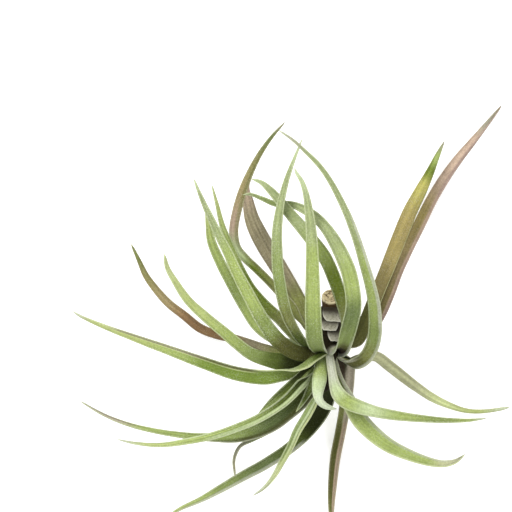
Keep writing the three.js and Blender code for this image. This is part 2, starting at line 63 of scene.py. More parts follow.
def litTone(hexColour):
    # the hex tones are as seen in the studio's light, so the tissue itself reflects less
    return [channel / lightLevel for channel in linear(hexColour)]


def smoothstep(value, low, high):
    t = min(max((value - low) / (high - low), 0), 1)
    return t * t * (3 - 2 * t)


def mix(a, b, share):
    return [p + (q - p) * share for p, q in zip(a, b)]


# small helpers for the node trees
def addNode(tree, kind, settings=None, links=None):
    node = tree.nodes.new(kind)
    for key, value in (settings or {}).items():
        if isinstance(key, str) and hasattr(node, key):
            setattr(node, key, value)
        else:
            node.inputs[key].default_value = value
    for key, socket in (links or {}).items():
        tree.links.new(socket, node.inputs[key])
    return node


def attribute(tree, name, socket):
    return addNode(tree, "ShaderNodeAttribute", {"attribute_name": name}).outputs[socket]


def remap(tree, value, start, end, low, high, curve="LINEAR"):
    return addNode(tree, "ShaderNodeMapRange",
                   {"From Min": start, "From Max": end, "To Min": low, "To Max": high,
                    "interpolation_type": curve}, {"Value": value}).outputs["Result"]


def multiply(tree, *values):
    product = values[0]
    for value in values[1:]:
        product = addNode(tree, "ShaderNodeMath", {"operation": "MULTIPLY"},
                          {0: product, 1: value}).outputs["Value"]
    return product


def noiseOver(tree, place, size, detail, roughness=0.5):
    return addNode(tree, "ShaderNodeTexNoise",
                   {"Scale": 1 / size, "Detail": detail, "Roughness": roughness},
                   {"Vector": place}).outputs["Fac"]


def streaksOver(tree, place, acrossMm, alongMm, detail, roughness):
    # noise drawn out along the leaf
    drawn = addNode(tree, "ShaderNodeVectorMath",
                    {"operation": "MULTIPLY", 1: (1 / acrossMm, 1 / alongMm, 1)}, {0: place})
    return noiseOver(tree, drawn.outputs["Vector"], 1.0, detail, roughness)


def tinted(tree, share, under, hexColour):
    return addNode(tree, "ShaderNodeMix", {"data_type": "RGBA", 7: (*litTone(hexColour), 1)},
                   {0: share, 6: under}).outputs[2]


def newMaterial(name):
    material = bpy.data.materials.new(name)
    material.use_nodes = True
    material.node_tree.nodes.clear()
    return material


def addSurface(tree, settings, links):
    shader = addNode(tree, "ShaderNodeBsdfPrincipled", settings, links)
    addNode(tree, "ShaderNodeOutputMaterial", {}, {"Surface": shader.outputs["BSDF"]})


def addObject(name, data):
    thing = bpy.data.objects.new(name, data)
    bpy.context.scene.collection.objects.link(thing)
    return thing


def makeLeafSkin(look):
    material = newMaterial(look["name"])
    tree = material.node_tree
    tone = attribute(tree, "tone", "Color")
    place = attribute(tree, "place", "Vector")  # across, along and side, in mm
    edge = attribute(tree, "edge", "Fac")       # mm in from the rim

    # slow change of tone, the parallel veins on broader ribs, and the grain of the skin between
    # the scales, whose cells of 0.1 mm are drawn coarser so that they show
    blotch = noiseOver(tree, place, look["blotchMm"], 3.0, 0.55)
    veins = streaksOver(tree, place, look["veinMm"], look["veinRunMm"], 2.0, 0.5)
    ribs = streaksOver(tree, place, look["ribMm"], look["ribRunMm"], 1.0, 0.4)
    grain = noiseOver(tree, place, look["grainMm"], 2.0, 0.6)
    # painted shade of a shallow furrow beside the margin: the tone darkens just inside the rim
    shade = remap(tree, edge, look["rimMm"], look["rimMm"] + look["furrowMm"],
                  1 - look["furrowShade"], 1.0, "SMOOTHSTEP")
    for pattern, swing, amount in ((blotch, 0.2, look["blotch"]), (veins, 0.2, look["vein"]),
                                   (ribs, 0.2, look["rib"]), (grain, 0.15, look["grain"])):
        shade = multiply(tree, shade, remap(tree, pattern, 0.5 - swing, 0.5 + swing,
                                            1 - amount, 1 + amount))
    shaded = addNode(tree, "ShaderNodeVectorMath", {"operation": "SCALE"},
                     {0: tone, "Scale": shade}).outputs["Vector"]

    # silvery scales that catch the light, real ones 0.1 mm, drawn larger so that they show
    scales = addNode(tree, "ShaderNodeTexVoronoi", {"Scale": 1 / look["scaleMm"]},
                     {"Vector": place})
    dots = remap(tree, scales.outputs["Distance"], 0.12, 0.5, 1.0, 0.0)
    spread = noiseOver(tree, place, look["scaleSpreadMm"], 2.0)
    cover = remap(tree, spread, 0.35, 0.6, look["scaleLeast"], look["scale"])
    # no two are alike, and in the shade they hardly show
    chance = addNode(tree, "ShaderNodeSeparateColor", {}, {"Color": scales.outputs["Color"]})
    toneLight = addNode(tree, "ShaderNodeRGBToBW", {}, {"Color": tone})
    shown = remap(tree, toneLight.outputs["Val"], 0.02, 0.2, 0.12, 1.0)
    scaled = tinted(tree, multiply(tree, dots, chance.outputs["Red"], shown, cover), shaded,
                    look["scaleColour"])

    # the thin dry margin, frayed between the scales
    rimShare = remap(tree, edge, 0.0, look["rimMm"], look["rim"], 0.0, "SMOOTHSTEP")
    frayed = remap(tree, scales.outputs["Distance"], 0.15, 0.6, 1.0, look["rimGaps"])
    coloured = tinted(tree, multiply(tree, rimShare, frayed), scaled, look["rimColour"])

    relief = addNode(tree, "ShaderNodeMath", {"operation": "MULTIPLY_ADD", 1: look["scaleRelief"]},
                     {0: dots, 2: veins})
    bump = addNode(tree, "ShaderNodeBump",
                   {"Strength": look["relief"], "Distance": look["reliefMm"] * mm},
                   {"Height": relief.outputs["Value"]})
    roughness = remap(tree, spread, 0.3, 0.7, look["roughness"] - 0.08, look["roughness"] + 0.08)
    addSurface(tree, {"IOR": 1.42, "Subsurface Weight": look["glow"],
                      "Subsurface Scale": 0.6 * mm, "Subsurface Radius": (0.6, 1.0, 0.25),
                      "Sheen Weight": look["sheen"], "Sheen Roughness": 0.5,
                      "Specular IOR Level": 0.06},
               {"Base Color": coloured, "Roughness": roughness, "Normal": bump.outputs["Normal"]})
    return material


# Living leaf of a grey air plant: matte wax under a sparse coat of silvery scales,
# so it looks soft and slightly chalky, with paler dry margins.
greenLook = {
    "name": "living leaf, sparse silver scales", "blotchMm": 9, "blotch": 0.07,
    "veinMm": 0.55, "veinRunMm": 26, "vein": 0.05, "ribMm": 1.6, "ribRunMm": 60, "rib": 0.1,
    "scaleMm": 0.62, "scaleSpreadMm": 9, "scaleLeast": 0.25, "scale": 0.65,
    "scaleColour": "#dfe6cb", "rimMm": 0.65, "furrowMm": 1.2, "furrowShade": 0.2, "rimGaps": 0.3,
    "rim": 0.85, "grainMm": 0.9, "grain": 0.14, "rimColour": tones["rim"], "relief": 0.35,
    "reliefMm": 0.12, "scaleRelief": 0.5, "roughness": 0.62, "sheen": 0.02, "glow": 0.06,
}
greenSkin = makeLeafSkin(greenLook)
# The same leaf closed into a channel, so that its parallel veins stand up as pale ribs.
ribbedSkin = makeLeafSkin({
    **greenLook, "name": "living leaf, raised veins", "rib": 0.34, "ribMm": 0.8,
    "ribRunMm": 45, "vein": 0.12, "relief": 0.6,
})
# The same leaf with the coat denser: the stipple shows from a step away.
scurfySkin = makeLeafSkin({
    **greenLook, "name": "living leaf, dense silver scales", "blotchMm": 8, "blotch": 0.08,
    "veinRunMm": 22, "ribRunMm": 50, "scaleMm": 0.66, "scaleSpreadMm": 7, "scaleLeast": 0.35,
    "scale": 0.8, "scaleColour": "#e3e8d2", "rimMm": 0.75, "grain": 0.17, "relief": 0.5,
    "reliefMm": 0.16, "scaleRelief": 0.9, "roughness": 0.7, "sheen": 0.01, "glow": 0.05,
})
# Young crown leaf: an even white bloom over pale tissue, smooth and soft.
bloomedSkin = makeLeafSkin({
    **greenLook, "name": "young leaf with white bloom", "blotchMm": 7, "blotch": 0.05,
    "veinMm": 0.5, "veinRunMm": 18, "ribMm": 1.5, "ribRunMm": 50, "scaleMm": 0.5,
    "scaleSpreadMm": 8, "scaleLeast": 0.3, "scale": 0.6, "scaleColour": "#e9f0da",
    "furrowShade": 0.16, "rimGaps": 0.4, "rim": 0.75, "grain": 0.12, "rimColour": "#e4ecca",
    "relief": 0.3, "reliefMm": 0.1, "scaleRelief": 0.8, "roughness": 0.68, "sheen": 0.04,
    "glow": 0.1,
})
# Ageing leaf: the green gone to olive and yellow, drier, with the veins standing out.
fadedSkin = makeLeafSkin({
    **greenLook, "name": "fading leaf, olive and tan", "blotchMm": 10, "blotch": 0.1,
    "veinMm": 0.6, "veinRunMm": 30, "vein": 0.1, "ribMm": 1.4, "ribRunMm": 70, "rib": 0.18,
    "scaleMm": 0.5, "scaleColour": "#ddd8c2", "rimMm": 0.6, "furrowShade": 0.18, "rim": 0.65,
    "grain": 0.12, "rimColour": "#d3cfab", "relief": 0.5, "reliefMm": 0.14, "roughness": 0.68,
    "glow": 0.03,
})
# Dried leaf: papery brown with raised parallel veins and a dusting of grey scales.
driedSkin = makeLeafSkin({
    **greenLook, "name": "dried leaf, papery brown", "blotchMm": 12, "blotch": 0.14,
    "veinMm": 0.6, "veinRunMm": 34, "vein": 0.14, "ribMm": 1.4, "ribRunMm": 80, "rib": 0.2,
    "scaleMm": 0.55, "scaleLeast": 0.3, "scale": 0.75, "scaleColour": "#cfc4ae", "rimMm": 0.6,
    "furrowShade": 0.18, "rim": 0.6, "rimColour": tones["dryRim"], "relief": 0.7, "reliefMm": 0.16,
    "roughness": 0.74, "sheen": 0.03, "glow": 0.0,
})
print("leaf skins made")


# the stem runs from the stub to the crown, and every leaf starts round it
stem = {
    "node": "stem_core", "slot": "stem_bark", "start": (19.2, 7, 50), "crown": (16.2, -36, 50),
    "profile": [(0, 0), (4.6, 0), (5.6, 3), (6.4, 8), (6.8, 14),   # radius, distance from start
                (6.6, 22), (5.8, 30), (4.4, 37), (2.4, 42), (0, 43.1)],
    "from": 0.3, "to": 42.8, "sides": 48, "steps": 60,             # what the bark covers
    "inset": 0.25, "rough": 0.35, "roughMm": 3.0, "roughReach": 6, "least": 0.05,
}
stemStart = Vector(stem["start"])
stemAxis = (Vector(stem["crown"]) - stemStart).normalized()
stemUp = (Vector((0, 0, 1)) - stemAxis * stemAxis.z).normalized()
stemAcross = stemUp.cross(stemAxis).normalized()


def outward(degrees):
    a = math.radians(degrees)
    return stemUp * math.cos(a) + stemAcross * math.sin(a)


def stemRadius(distance):
    for (r0, d0), (r1, d1) in zip(stem["profile"], stem["profile"][1:]):
        if distance <= d1 and d1 > d0:
            return r0 + (r1 - r0) * (distance - d0) / (d1 - d0)
    return 0


def meshPiece(name, rings, attributes, material):
    # rings of equal length, in mm, skinned and capped into one closed mesh
    count = len(rings[0])
    points = [p * mm for ring in rings for p in ring]
    faces = []
    for k in range(len(rings) - 1):
        for i in range(count):
            a, b = k * count + i, k * count + (i + 1) % count
            faces.append((a, b, b + count, a + count))
    last = (len(rings) - 1) * count
    faces.append(tuple(reversed(range(count))))
    faces.append(tuple(range(last, last + count)))
    mesh = bpy.data.meshes.new(name)
    mesh.from_pydata(points, [], faces)
    for key, (kind, field, values) in attributes.items():
        layer = mesh.attributes.new(key, kind, "POINT")
        layer.data.foreach_set(field, [v for row in values for v in row])
    mesh.polygons.foreach_set("use_smooth", [True] * len(mesh.polygons))
    mesh.materials.append(material)
    piece = addObject(name, mesh)
    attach(piece, "root")
    return piece


def hermite(a, b, slopeA, slopeB, u):
    cubic = a * 2 - b * 2 + slopeA + slopeB
    square = (b - a) * 3 - slopeA * 2 - slopeB
    return a + slopeA * u + square * u * u + cubic * u * u * u


def routeAt(points, span, u):
    # centripetal Catmull-Rom through the given points
    before = points[span - 1] if span else points[0] * 2 - points[1]
    after = points[span + 2] if span + 2 < len(points) else points[-1] * 2 - points[-2]
    a, b = points[span], points[span + 1]
    d0, d1, d2 = (math.sqrt((q - p).length) for p, q in ((before, a), (a, b), (b, after)))
    slopeA = ((a - before) / d0 - (b - before) / (d0 + d1) + (b - a) / d1) * d1
    slopeB = ((b - a) / d1 - (after - a) / (d1 + d2) + (after - b) / d2) * d1
    return hermite(a, b, slopeA, slopeB, u)


def between(values, span, u):
    # the same idea for one number, kept between its neighbours
    a, b = values[span], values[span + 1]
    before = values[span - 1] if span else a
    after = values[span + 2] if span + 2 < len(values) else b
    value = hermite(a, b, (b - before) / 2, (after - a) / 2, u)
    return min(max(value, min(a, b)), max(a, b))


tissue = {name: litTone(tones[name]) for name in tones}


def toneAt(tonesAlong, share):
    stops = list(tonesAlong.items())
    for (s0, name0), (s1, name1) in zip(stops, stops[1:]):
        if share <= s1:
            return mix(tissue[name0], tissue[name1], smoothstep(share, s0, s1))
    return tissue[stops[-1][1]]


# lengths in mm; what fades along the leaf is in shares of its length
blade = {
    "thickness": 1.3, "tipThickness": 0.7, "rim": 0.42, "rimBulge": 0.35,
    "fullWidth": 4.5, "tipWidth": 0.9, "tipFold": 24,
    "step": 1.4, "columns": 8,             # along, and half the columns across
    "point": 3.0, "pointWidth": 0.3,       # over which the tip draws to a point
    "wander": 0.02, "wanderMm": 11,        # how much the width wavers
    "ripple": 0.1, "rippleMm": 7,          # the margins' slight waves
    "fold": 50, "turn": (0.02, 0.3), "floorGap": 0.02,
    "sideGap": 40,                         # keeps the patterns of the two faces apart
    "bareMm": 2.5, "rimFade": 0.6, "rimSeat": 0.01,    # no dry rim at the base
    "stripIn": 0.04, "stripOut": 0.08,
    "scurf": 0.6, "scurfFade": 0.4, "scurfInner": 0.5,
}


def shellColour(leaf, s, side, share, shell):
    # shell: the tones of the back and of the channel here
    colour = mix(*shell, side)
    for margin, name, strength, first, last, start, end in leaf.get("strips", []):
        fade = strength * smoothstep(share, start - blade["stripIn"], start)
        fade *= 1 - smoothstep(share, end, end + blade["stripOut"])
        colour = mix(colour, tissue[name], fade * smoothstep(s * margin, first, last))
    if "greyBase" in leaf:
        scurf = 1 - smoothstep(share, leaf["greyBase"] * blade["scurfFade"], leaf["greyBase"])
        scurf *= blade["scurf"] * smoothstep(abs(s), blade["scurfInner"], 1)
        colour = mix(colour, tissue["grey"], scurf)
    return (*colour, 1.0)


def growLeaf(leaf):
    route = leaf["route"]
    points = [Vector(p[:3]) for p in route]
    widths = [p[3] for p in route]
    spans = len(points) - 1
    away = outward(leaf["side"])
    turnFrom, turnTo = leaf.get("turn", blade["turn"])
    rimFrom = leaf.get("rimFrom", 0)
    seed = sum(ord(letter) for letter in leaf["node"]) % 97

    stations = []
    for span in range(spans):
        parts = max(2, round((points[span + 1] - points[span]).length / blade["step"]))
        stations += [(span, i / parts) for i in range(parts)]
    stations.append((spans - 1, 1.0))
    centres = [routeAt(points, span, u) for span, u in stations]
    run = [0.0]
    for p, q in zip(centres, centres[1:]):
        run.append(run[-1] + (q - p).length)
    length = run[-1]

    n = blade["columns"]
    outer = [j / n for j in range(-n, n + 1)]
    inner = [j / (n - 1) for j in range(n - 1, -n, -1)]
    rings, places, edges, colours = [], [], [], []
    for k, (span, u) in enumerate(stations):
        t = (span + u) / spans
        share = run[k] / length
        ahead, behind = centres[min(k + 1, len(centres) - 1)], centres[max(k - 1, 0)]
        along = (ahead - behind).normalized()
        opening = (stemAxis * along.dot(away) - away * along.dot(stemAxis)).normalized()
        if "face" in leaf:
            opening = opening.lerp(Vector(leaf["face"]), smoothstep(t, turnFrom, turnTo))
        opening = (opening - along * opening.dot(along)).normalized()
        sideways = opening.cross(along).normalized()

        width = between(widths, span, u)
        width *= 1 + blade["wander"] * noise.noise(Vector((run[k] / blade["wanderMm"], seed, 0)))
        full = smoothstep(width, blade["tipWidth"], blade["fullWidth"])
        draw = min((length - run[k]) / blade["point"], 1)
        width = blade["pointWidth"] + (width - blade["pointWidth"]) * math.sqrt(draw)
        slim = min(width / blade["tipWidth"], 1)
        thickness = blade["tipThickness"] + (blade["thickness"] - blade["tipThickness"]) * full
        thickness *= slim
        rim = blade["rim"] * slim
        fold = leaf.get("fold", blade["fold"])
        if "baseFold" in leaf:
            clasp, until = leaf["baseFold"]
            fold = clasp + (fold - clasp) * smoothstep(t, 0, until)
        half = math.radians(blade["tipFold"] + (fold - blade["tipFold"]) * full)
        radius = width / 2 / math.sin(half)

        def at(s, offset, reach=0.0):
            r = radius - offset
            a = half * s
            x = r * math.sin(a) + reach * math.cos(a)
            wave = noise.noise(Vector((run[k] / blade["rippleMm"], s + seed, 3)))
            y = radius - r * math.cos(a) + abs(reach) * math.sin(half) - thickness / 2
            y += blade["ripple"] * wave * abs(s) * full
            point = centres[k] + sideways * x + opening * y
            point.z = max(point.z, blade["floorGap"])
            return point

        arc = half * radius
        bulge = rim * blade["rimBulge"]
        ring = [(at(s, 0), s, 0) for s in outer]
        ring.append((at(1, rim / 2, bulge), 1, 0.5))
        ring += [(at(s, rim + (thickness - rim) * (1 - s * s)), s, 1) for s in inner]
        ring.append((at(-1, rim / 2, -bulge), -1, 0.5))
        rings.append([p for p, s, side in ring])
        shell = toneAt(leaf["lower"], share), toneAt(leaf["upper"], share)
        bare = smoothstep(share, rimFrom * blade["rimFade"], rimFrom + blade["rimSeat"])
        bare = blade["bareMm"] * (1 - bare)
        for p, s, side in ring:
            places.append((s * arc, run[k], blade["sideGap"] * side + seed))
            edges.append(((1 - abs(s)) * arc + bare,))
            colours.append(shellColour(leaf, s, side, share, shell))

    piece = meshPiece("blade_" + leaf["node"], rings,
                      {"place": ("FLOAT_VECTOR", "vector", places),
                       "edge": ("FLOAT", "value", edges),
                       "tone": ("FLOAT_COLOR", "color", colours)},
                      leaf.get("skin", greenSkin))
    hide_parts(leaf["node"])


# The leaves, from the crown outwards. side: the bearing round the stem, in degrees; face: where
# the channel opens once the leaf is clear of the stem, and turn: from where to where it swings
# there; fold: half the channel's arc in degrees, and baseFold: that at the base, and how far up;
# upper and lower: the tones along the channel's inside and its back, by share of the length, their
# darkest stops near the base being painted shade where the leaf sits in the crown;
# strips, later ones on top: which margin, tone, strength, from and to across, from and to along;
# greyBase: how far up grey scurf reaches; rimFrom: where the dry rim begins;
# route: x, y, z and width, in mm

growLeaf({
    "node": "leaf_crown_tongue", "slot": "leaf_bloom", "skin": bloomedSkin,
    "side": 0, "face": (0, 0.1, -1), "fold": 52,
    "upper": {0: "glaucous", 0.3: "fresh", 0.5: "bloom", 1: "pale"},
    "lower": {0: "shade", 0.14: "glaucous", 0.3: "fresh", 0.5: "bloom", 0.72: "bloomWhite"},
    "route": [
        (15.2, -15.5, 55.5, 4.5), (14.8, -19.5, 58, 5.4), (14.4, -23, 60.6, 6.6),
        (14, -26.5, 63, 7.3), (13.6, -30, 64.8, 7.2), (12.9, -35, 66, 5.9), (13, -38, 66, 4.8),
        (14, -40.6, 65, 4), (16.5, -42.7, 63.5, 3.2), (19.5, -43.8, 62, 2.2), (22.2, -44.3, 61, 0.9)
    ],
})

growLeaf({
    "node": "leaf_crown_left", "slot": "leaf_bloom", "skin": ribbedSkin,
    "side": -35, "face": (0.5, -0.3, 0.8), "fold": 46,
    "upper": {0: "glaucous", 0.1: "bloom", 0.4: "bloom", 0.75: "pale", 1: "silver"},
    "lower": {0: "shade", 0.3: "glaucous", 0.8: "bloom", 1: "silver"},
    "strips": [(-1, "fern", 0.75, 0.1, 0.45, 0, 0.64), (1, "moss", 0.6, 0.4, 0.5, 0, 0.7),
               (1, "pale", 0.85, 0.6, 0.7, 0, 1)],
    "route": [
        (15.4, -29, 52, 4), (14.2, -33, 53.6, 5), (11, -40, 54.5, 5.6), (7, -47.5, 54, 5.6),
        (2.5, -55, 52.8, 5.2), (-1, -63, 51.2, 4.6), (-5, -70.5, 49.8, 4), (-9, -78, 48.4, 3),
        (-14, -84, 47.2, 2), (-19.5, -88, 46.5, 0.9)
    ],
})

growLeaf({
    "node": "leaf_crown_short", "slot": "leaf_grey_green", "skin": bloomedSkin,
    "side": -75, "face": (0.3, 0.2, 0.9), "fold": 40,
    "upper": {0: "shade", 0.3: "glaucous", 0.65: "shade", 0.85: "glaucous", 1: "light"},
    "lower": {0: "shade", 1: "glaucous"},
    "route": [
        (13.8, -25.6, 50.8, 3.4), (11.7, -27.3, 50.4, 5.4), (10, -32.2, 49.4, 4.6),
        (7.2, -38, 48, 3.2), (4.6, -42.4, 47.2, 2), (2, -46, 46.5, 0.9)
    ],
})

growLeaf({
    "node": "leaf_crown_thin", "slot": "leaf_dark_green",
    "side": -145, "face": (0.1, 0.1, 1), "fold": 40,
    "upper": {0: "fresh", 0.2: "glaucous", 0.35: "glaucousDeep", 0.62: "glaucousDeep",
              0.8: "greyTip", 1: "dryTip"},
    "lower": {0: "shade", 0.6: "glaucous", 1: "dryTip"},
    "route": [
        (14.6, -31, 46.5, 2.4), (10, -36, 42, 2.4), (3, -44, 35.5, 2.4), (-4, -50.5, 31, 2.2),
        (-12, -56.5, 28, 2.1), (-20, -60.5, 26, 2), (-26, -63.6, 25, 1.9), (-29, -70, 24, 1.6),
        (-28.5, -79, 23, 0.9)
    ],
})

growLeaf({
    "node": "leaf_low_left", "slot": "leaf_dark_green",
    "side": -175, "face": (0, 0.1, 1),
    "upper": {0.3: "gloom", 0.42: "shade", 0.56: "glaucousDeep", 0.74: "glaucous", 0.85: "fresh",
              1: "light"},
    "lower": {0: "deep", 0.3: "shade", 0.6: "glaucous", 1: "fresh"},
    "strips": [(1, "silver", 0.75, 0.5, 0.65, 0.4, 1)],
    "route": [
        (16, -25, 45.6, 5), (17.4, -31, 41, 6.2), (18.1, -37.4, 33.5, 7.4), (16, -43.8, 27, 8.1),
        (11.6, -51.6, 21, 7.3), (5.4, -58.8, 16.5, 6.7), (-1.4, -65, 12.8, 6),
        (-8.4, -69.8, 9.8, 5.7), (-15.5, -74.2, 6.6, 5.5), (-23.5, -78.5, 3.8, 5.1),
        (-35, -85, 1.2, 4.2), (-46, -91, 0.3, 3), (-56, -95.5, 0.4, 2), (-63.5, -100, 1.2, 0.9)
    ],
})

growLeaf({
    "node": "leaf_long_left_lower", "slot": "leaf_green", "skin": ribbedSkin,
    "side": -125, "face": (0, 0.62, 0.78),
    "upper": {0: "gloom", 0.12: "deep", 0.27: "glaucousDeep", 0.45: "glaucous", 0.74: "fresh",
              0.86: "ash", 1: "greyTip"},
    "lower": {0.35: "shade", 0.6: "glaucous", 0.9: "fresh", 1: "silver"},
    "strips": [(1, "oliveDeep", 0.75, 0.1, 0.4, 0, 0.38), (1, "grey", 0.8, 0.8, 0.9, 0.1, 0.5)],
    "route": [
        (13.6, -24, 47, 5.4), (11, -28.6, 44.8, 7.6), (7, -36.6, 41.6, 9.2), (-0.8, -46, 38, 10),
        (-11.6, -54.2, 35, 9.8), (-26, -59.1, 31.6, 8), (-43, -59.4, 28, 5.3), (-57, -58, 25, 4),
        (-69.5, -55.9, 22.4, 3.3), (-82, -52.8, 20, 2.7), (-94.5, -47.9, 18, 1.9),
        (-106.5, -41, 17, 0.9)
    ],
})

growLeaf({
    "node": "leaf_long_left_upper", "slot": "leaf_bloom", "skin": ribbedSkin,
    "side": -70, "face": (0.1, 0.6, 0.79),
    "upper": {0: "shade", 0.1: "deep", 0.22: "shade", 0.38: "glaucous", 0.6: "fresh", 0.85: "light",
              1: "silver"},
    "lower": {0: "shade", 0.3: "glaucous", 0.6: "bloom", 0.9: "bloom", 1: "silver"},
    "strips": [(1, "bloom", 0.75, 0.1, 0.22, 0.04, 0.55), (-1, "bloom", 0.7, 0.72, 0.84, 0.02, 1)],
    "route": [
        (12.6, -22.5, 51.6, 4.6), (9.6, -26, 52.6, 5.2), (5, -31.5, 52.2, 5.6),
        (-3, -40.5, 50, 5.6), (-15.5, -49, 47, 5.4), (-28, -54.5, 44, 5.2), (-40.5, -58.6, 41, 4.8),
        (-53, -61.2, 38, 4), (-65.5, -62.8, 35.4, 3), (-78, -62, 33.2, 1.9), (-87.5, -60, 32, 0.9)
    ],
})

growLeaf({
    "node": "leaf_shaded_left", "slot": "leaf_dark_green", "skin": ribbedSkin,
    "side": -100, "face": (0, 0.4, 0.9), "fold": 46,
    "upper": {0.25: "gloom", 0.5: "shade", 0.75: "glaucous", 1: "fresh"},
    "lower": {0: "shade", 0.6: "glaucous", 1: "fresh"},
    "strips": [(1, "fresh", 0.8, 0.45, 0.6, 0, 1)],
    "route": [
        (12.6, -20, 48, 4), (9, -23.2, 46.6, 4.6), (5, -27.4, 45.2, 5), (0.6, -32, 44, 5.2),
        (-5.4, -37.4, 42.8, 5), (-11, -42.4, 41.4, 4), (-15.2, -46.6, 40.2, 2.6),
        (-18.6, -50, 39, 1)
    ],
})

growLeaf({
    "node": "leaf_right_upper", "slot": "leaf_green",
    "side": 25, "face": (-0.15, 0.35, 0.93), "turn": (-0.2, -0.1), "fold": 54, "greyBase": 0.42,
    "upper": {0: "grey", 0.06: "silver", 0.18: "silver", 0.26: "bloom", 0.33: "fresh",
              0.45: "bloom", 0.6: "fresh", 0.78: "glaucous", 0.92: "fresh", 1: "silver"},
    "lower": {0.25: "grey", 0.45: "glaucous", 0.8: "fresh", 1: "silver"},
    "route": [
        (17.6, -11.4, 52.4, 2.8), (18, -14.6, 56, 3.3), (18.7, -18, 59.6, 3.9),
        (19.5, -22.4, 61.8, 4.4), (20.3, -27.6, 62.8, 4.6), (21.2, -32, 63.2, 5.6),
        (23.2, -37, 64, 7.3), (27, -40.8, 64.8, 7.8), (33, -43.5, 65.2, 7.3), (42, -46, 64.8, 6),
        (53.5, -48, 64, 5), (68, -49.5, 62, 3.8), (76.5, -50, 61, 3), (88, -50, 59.6, 1.9),
        (97, -49, 58.6, 0.9)
    ],
})

growLeaf({
    "node": "leaf_right_lower", "slot": "leaf_green",
    "side": 68, "face": (-0.3, 0.45, 0.84), "turn": (-0.2, -0.1), "fold": 54, "greyBase": 0.3,
    "upper": {0: "grey", 0.16: "shade", 0.28: "glaucous", 0.4: "fresh", 0.78: "fresh",
              0.88: "straw", 1: "greyTip"},
    "lower": {0: "grey", 0.2: "silver", 0.35: "glaucous", 0.7: "fresh", 1: "greyTip"},
    "strips": [(1, "grey", 0.95, 0.3, 0.6, 0, 0.26), (1, "silver", 0.6, 0.6, 0.8, 0, 1),
               (-1, "pale", 0.7, 0.7, 0.85, 0, 1)],
    "route": [
        (20.6, -17.6, 52, 3), (21.4, -22, 53.6, 3.8), (22.6, -27.2, 54.8, 4.6),
        (24.4, -32.5, 55.6, 5.8), (26.8, -37.5, 55.8, 7), (30.2, -43.8, 55.6, 8.1),
        (36, -52.5, 55.2, 8.5), (47.5, -62.5, 54.2, 7.6), (59, -68, 52.8, 6.2),
        (70.5, -71.5, 51.6, 4.8), (76.5, -72, 51.2, 4), (82, -70.5, 51.6, 2.8), (86.5, -67, 53, 1)
    ],
})

growLeaf({
    "node": "leaf_down", "slot": "leaf_tan", "skin": fadedSkin,
    "side": 160, "face": (0, 0, 1), "fold": 48,
    "upper": {0.14: "gloom", 0.24: "ash", 0.42: "olive", 0.55: "oliveDeep", 0.8: "oliveDeep",
              1: "olive"},
    "lower": {0: "oliveDeep", 0.4: "olive", 1: "tan"},
    # the near-black strip on the -1 margin paints the shade on the channel's shaded wall
    "strips": [(1, "ashPale", 0.8, -0.1, 0.2, 0.16, 0.45), (1, "pinkTan", 0.75, 0.1, 0.35, 0.5, 1),
               (-1, "hollowShade", 0.9, 0.1, 0.35, 0, 0.36)],
    "route": [
        (20, -15.4, 45.6, 5.6), (24.4, -17.4, 41, 7.2), (27.2, -21, 34.5, 8.4),
        (27.6, -28, 26.5, 7.9), (27.4, -37, 18.8, 6.8), (26.4, -46, 12, 5.6), (24.5, -57, 6, 5.5),
        (22, -70, 2, 5.2), (20.5, -85, 0.3, 4.4), (20, -96, 0.9, 3), (20.5, -107.5, 3, 0.9)
    ],
})

growLeaf({
    "node": "leaf_long_left_top", "slot": "leaf_green",
    "side": -45, "face": (0, -0.42, 0.9), "turn": (0.04, 0.6), "fold": 60,
    "upper": {0.14: "shade", 0.24: "fern", 0.45: "fern", 0.6: "fresh", 0.75: "light", 0.9: "light",
              1: "silver"},
    "lower": {0.04: "shade", 0.1: "glaucous", 0.2: "bloom", 0.4: "light", 0.9: "light",
              1: "silver"},
    # the pale strips: the upper margin's outer face, pale bloom brightened with painted light; the
    # olive and ash strips: painted shade inside the channel beside it
    "strips": [(-1, "pale", 0.8, 0.74, 0.86, 0, 0.26), (-1, "pale", 0.7, 0.3, 0.4, 0.3, 0.85),
               (-1, "oliveDeep", 0.85, 0.45, 0.55, 0.3, 0.5),
               (-1, "ashDeep", 0.8, 0.48, 0.58, 0.5, 0.8)],
    "route": [
        (16.4, -15.8, 57.6, 4.8), (12.8, -17.4, 60.4, 6), (9.4, -19.2, 62, 7.2),
        (5.4, -22.1, 63.2, 8.9), (-0.4, -25, 64, 9.8), (-6, -26.2, 64.4, 9.2),
        (-14, -27.4, 64.2, 9), (-28, -25.8, 62.6, 8), (-44.5, -20.6, 60, 6.8),
        (-61, -14.8, 57, 5.6), (-75.5, -9.8, 54, 4.5), (-94.5, -3, 51, 2.8), (-106, 2, 49, 1.5),
        (-110, 4.5, 48.2, 0.8)
    ],
})

growLeaf({
    "node": "leaf_left_bowed", "slot": "leaf_green",
    "side": -95, "face": (0.25, 0.4, 0.88), "rimFrom": 0.35,
    "upper": {0.14: "gloom", 0.22: "shade", 0.34: "glaucous", 0.46: "fresh", 0.7: "light",
              1: "pale"},
    "lower": {0: "shade", 0.3: "glaucous", 0.7: "fresh", 1: "pale"},
    "route": [
        (12.4, -16.8, 49.6, 6), (7, -19.6, 48.8, 8), (-0.5, -21.4, 46.8, 9),
        (-11, -20.6, 43.4, 8.6), (-21, -17.3, 39.6, 7.2), (-28, -12, 36.4, 6.6),
        (-35, -6, 33.6, 6.2), (-44.5, 2, 30.6, 5.6), (-52.5, 9.8, 28.6, 4.8), (-58, 18, 27.4, 3.9),
        (-62.5, 26, 27, 2.8), (-64, 33, 27.4, 1.4)
    ],
})

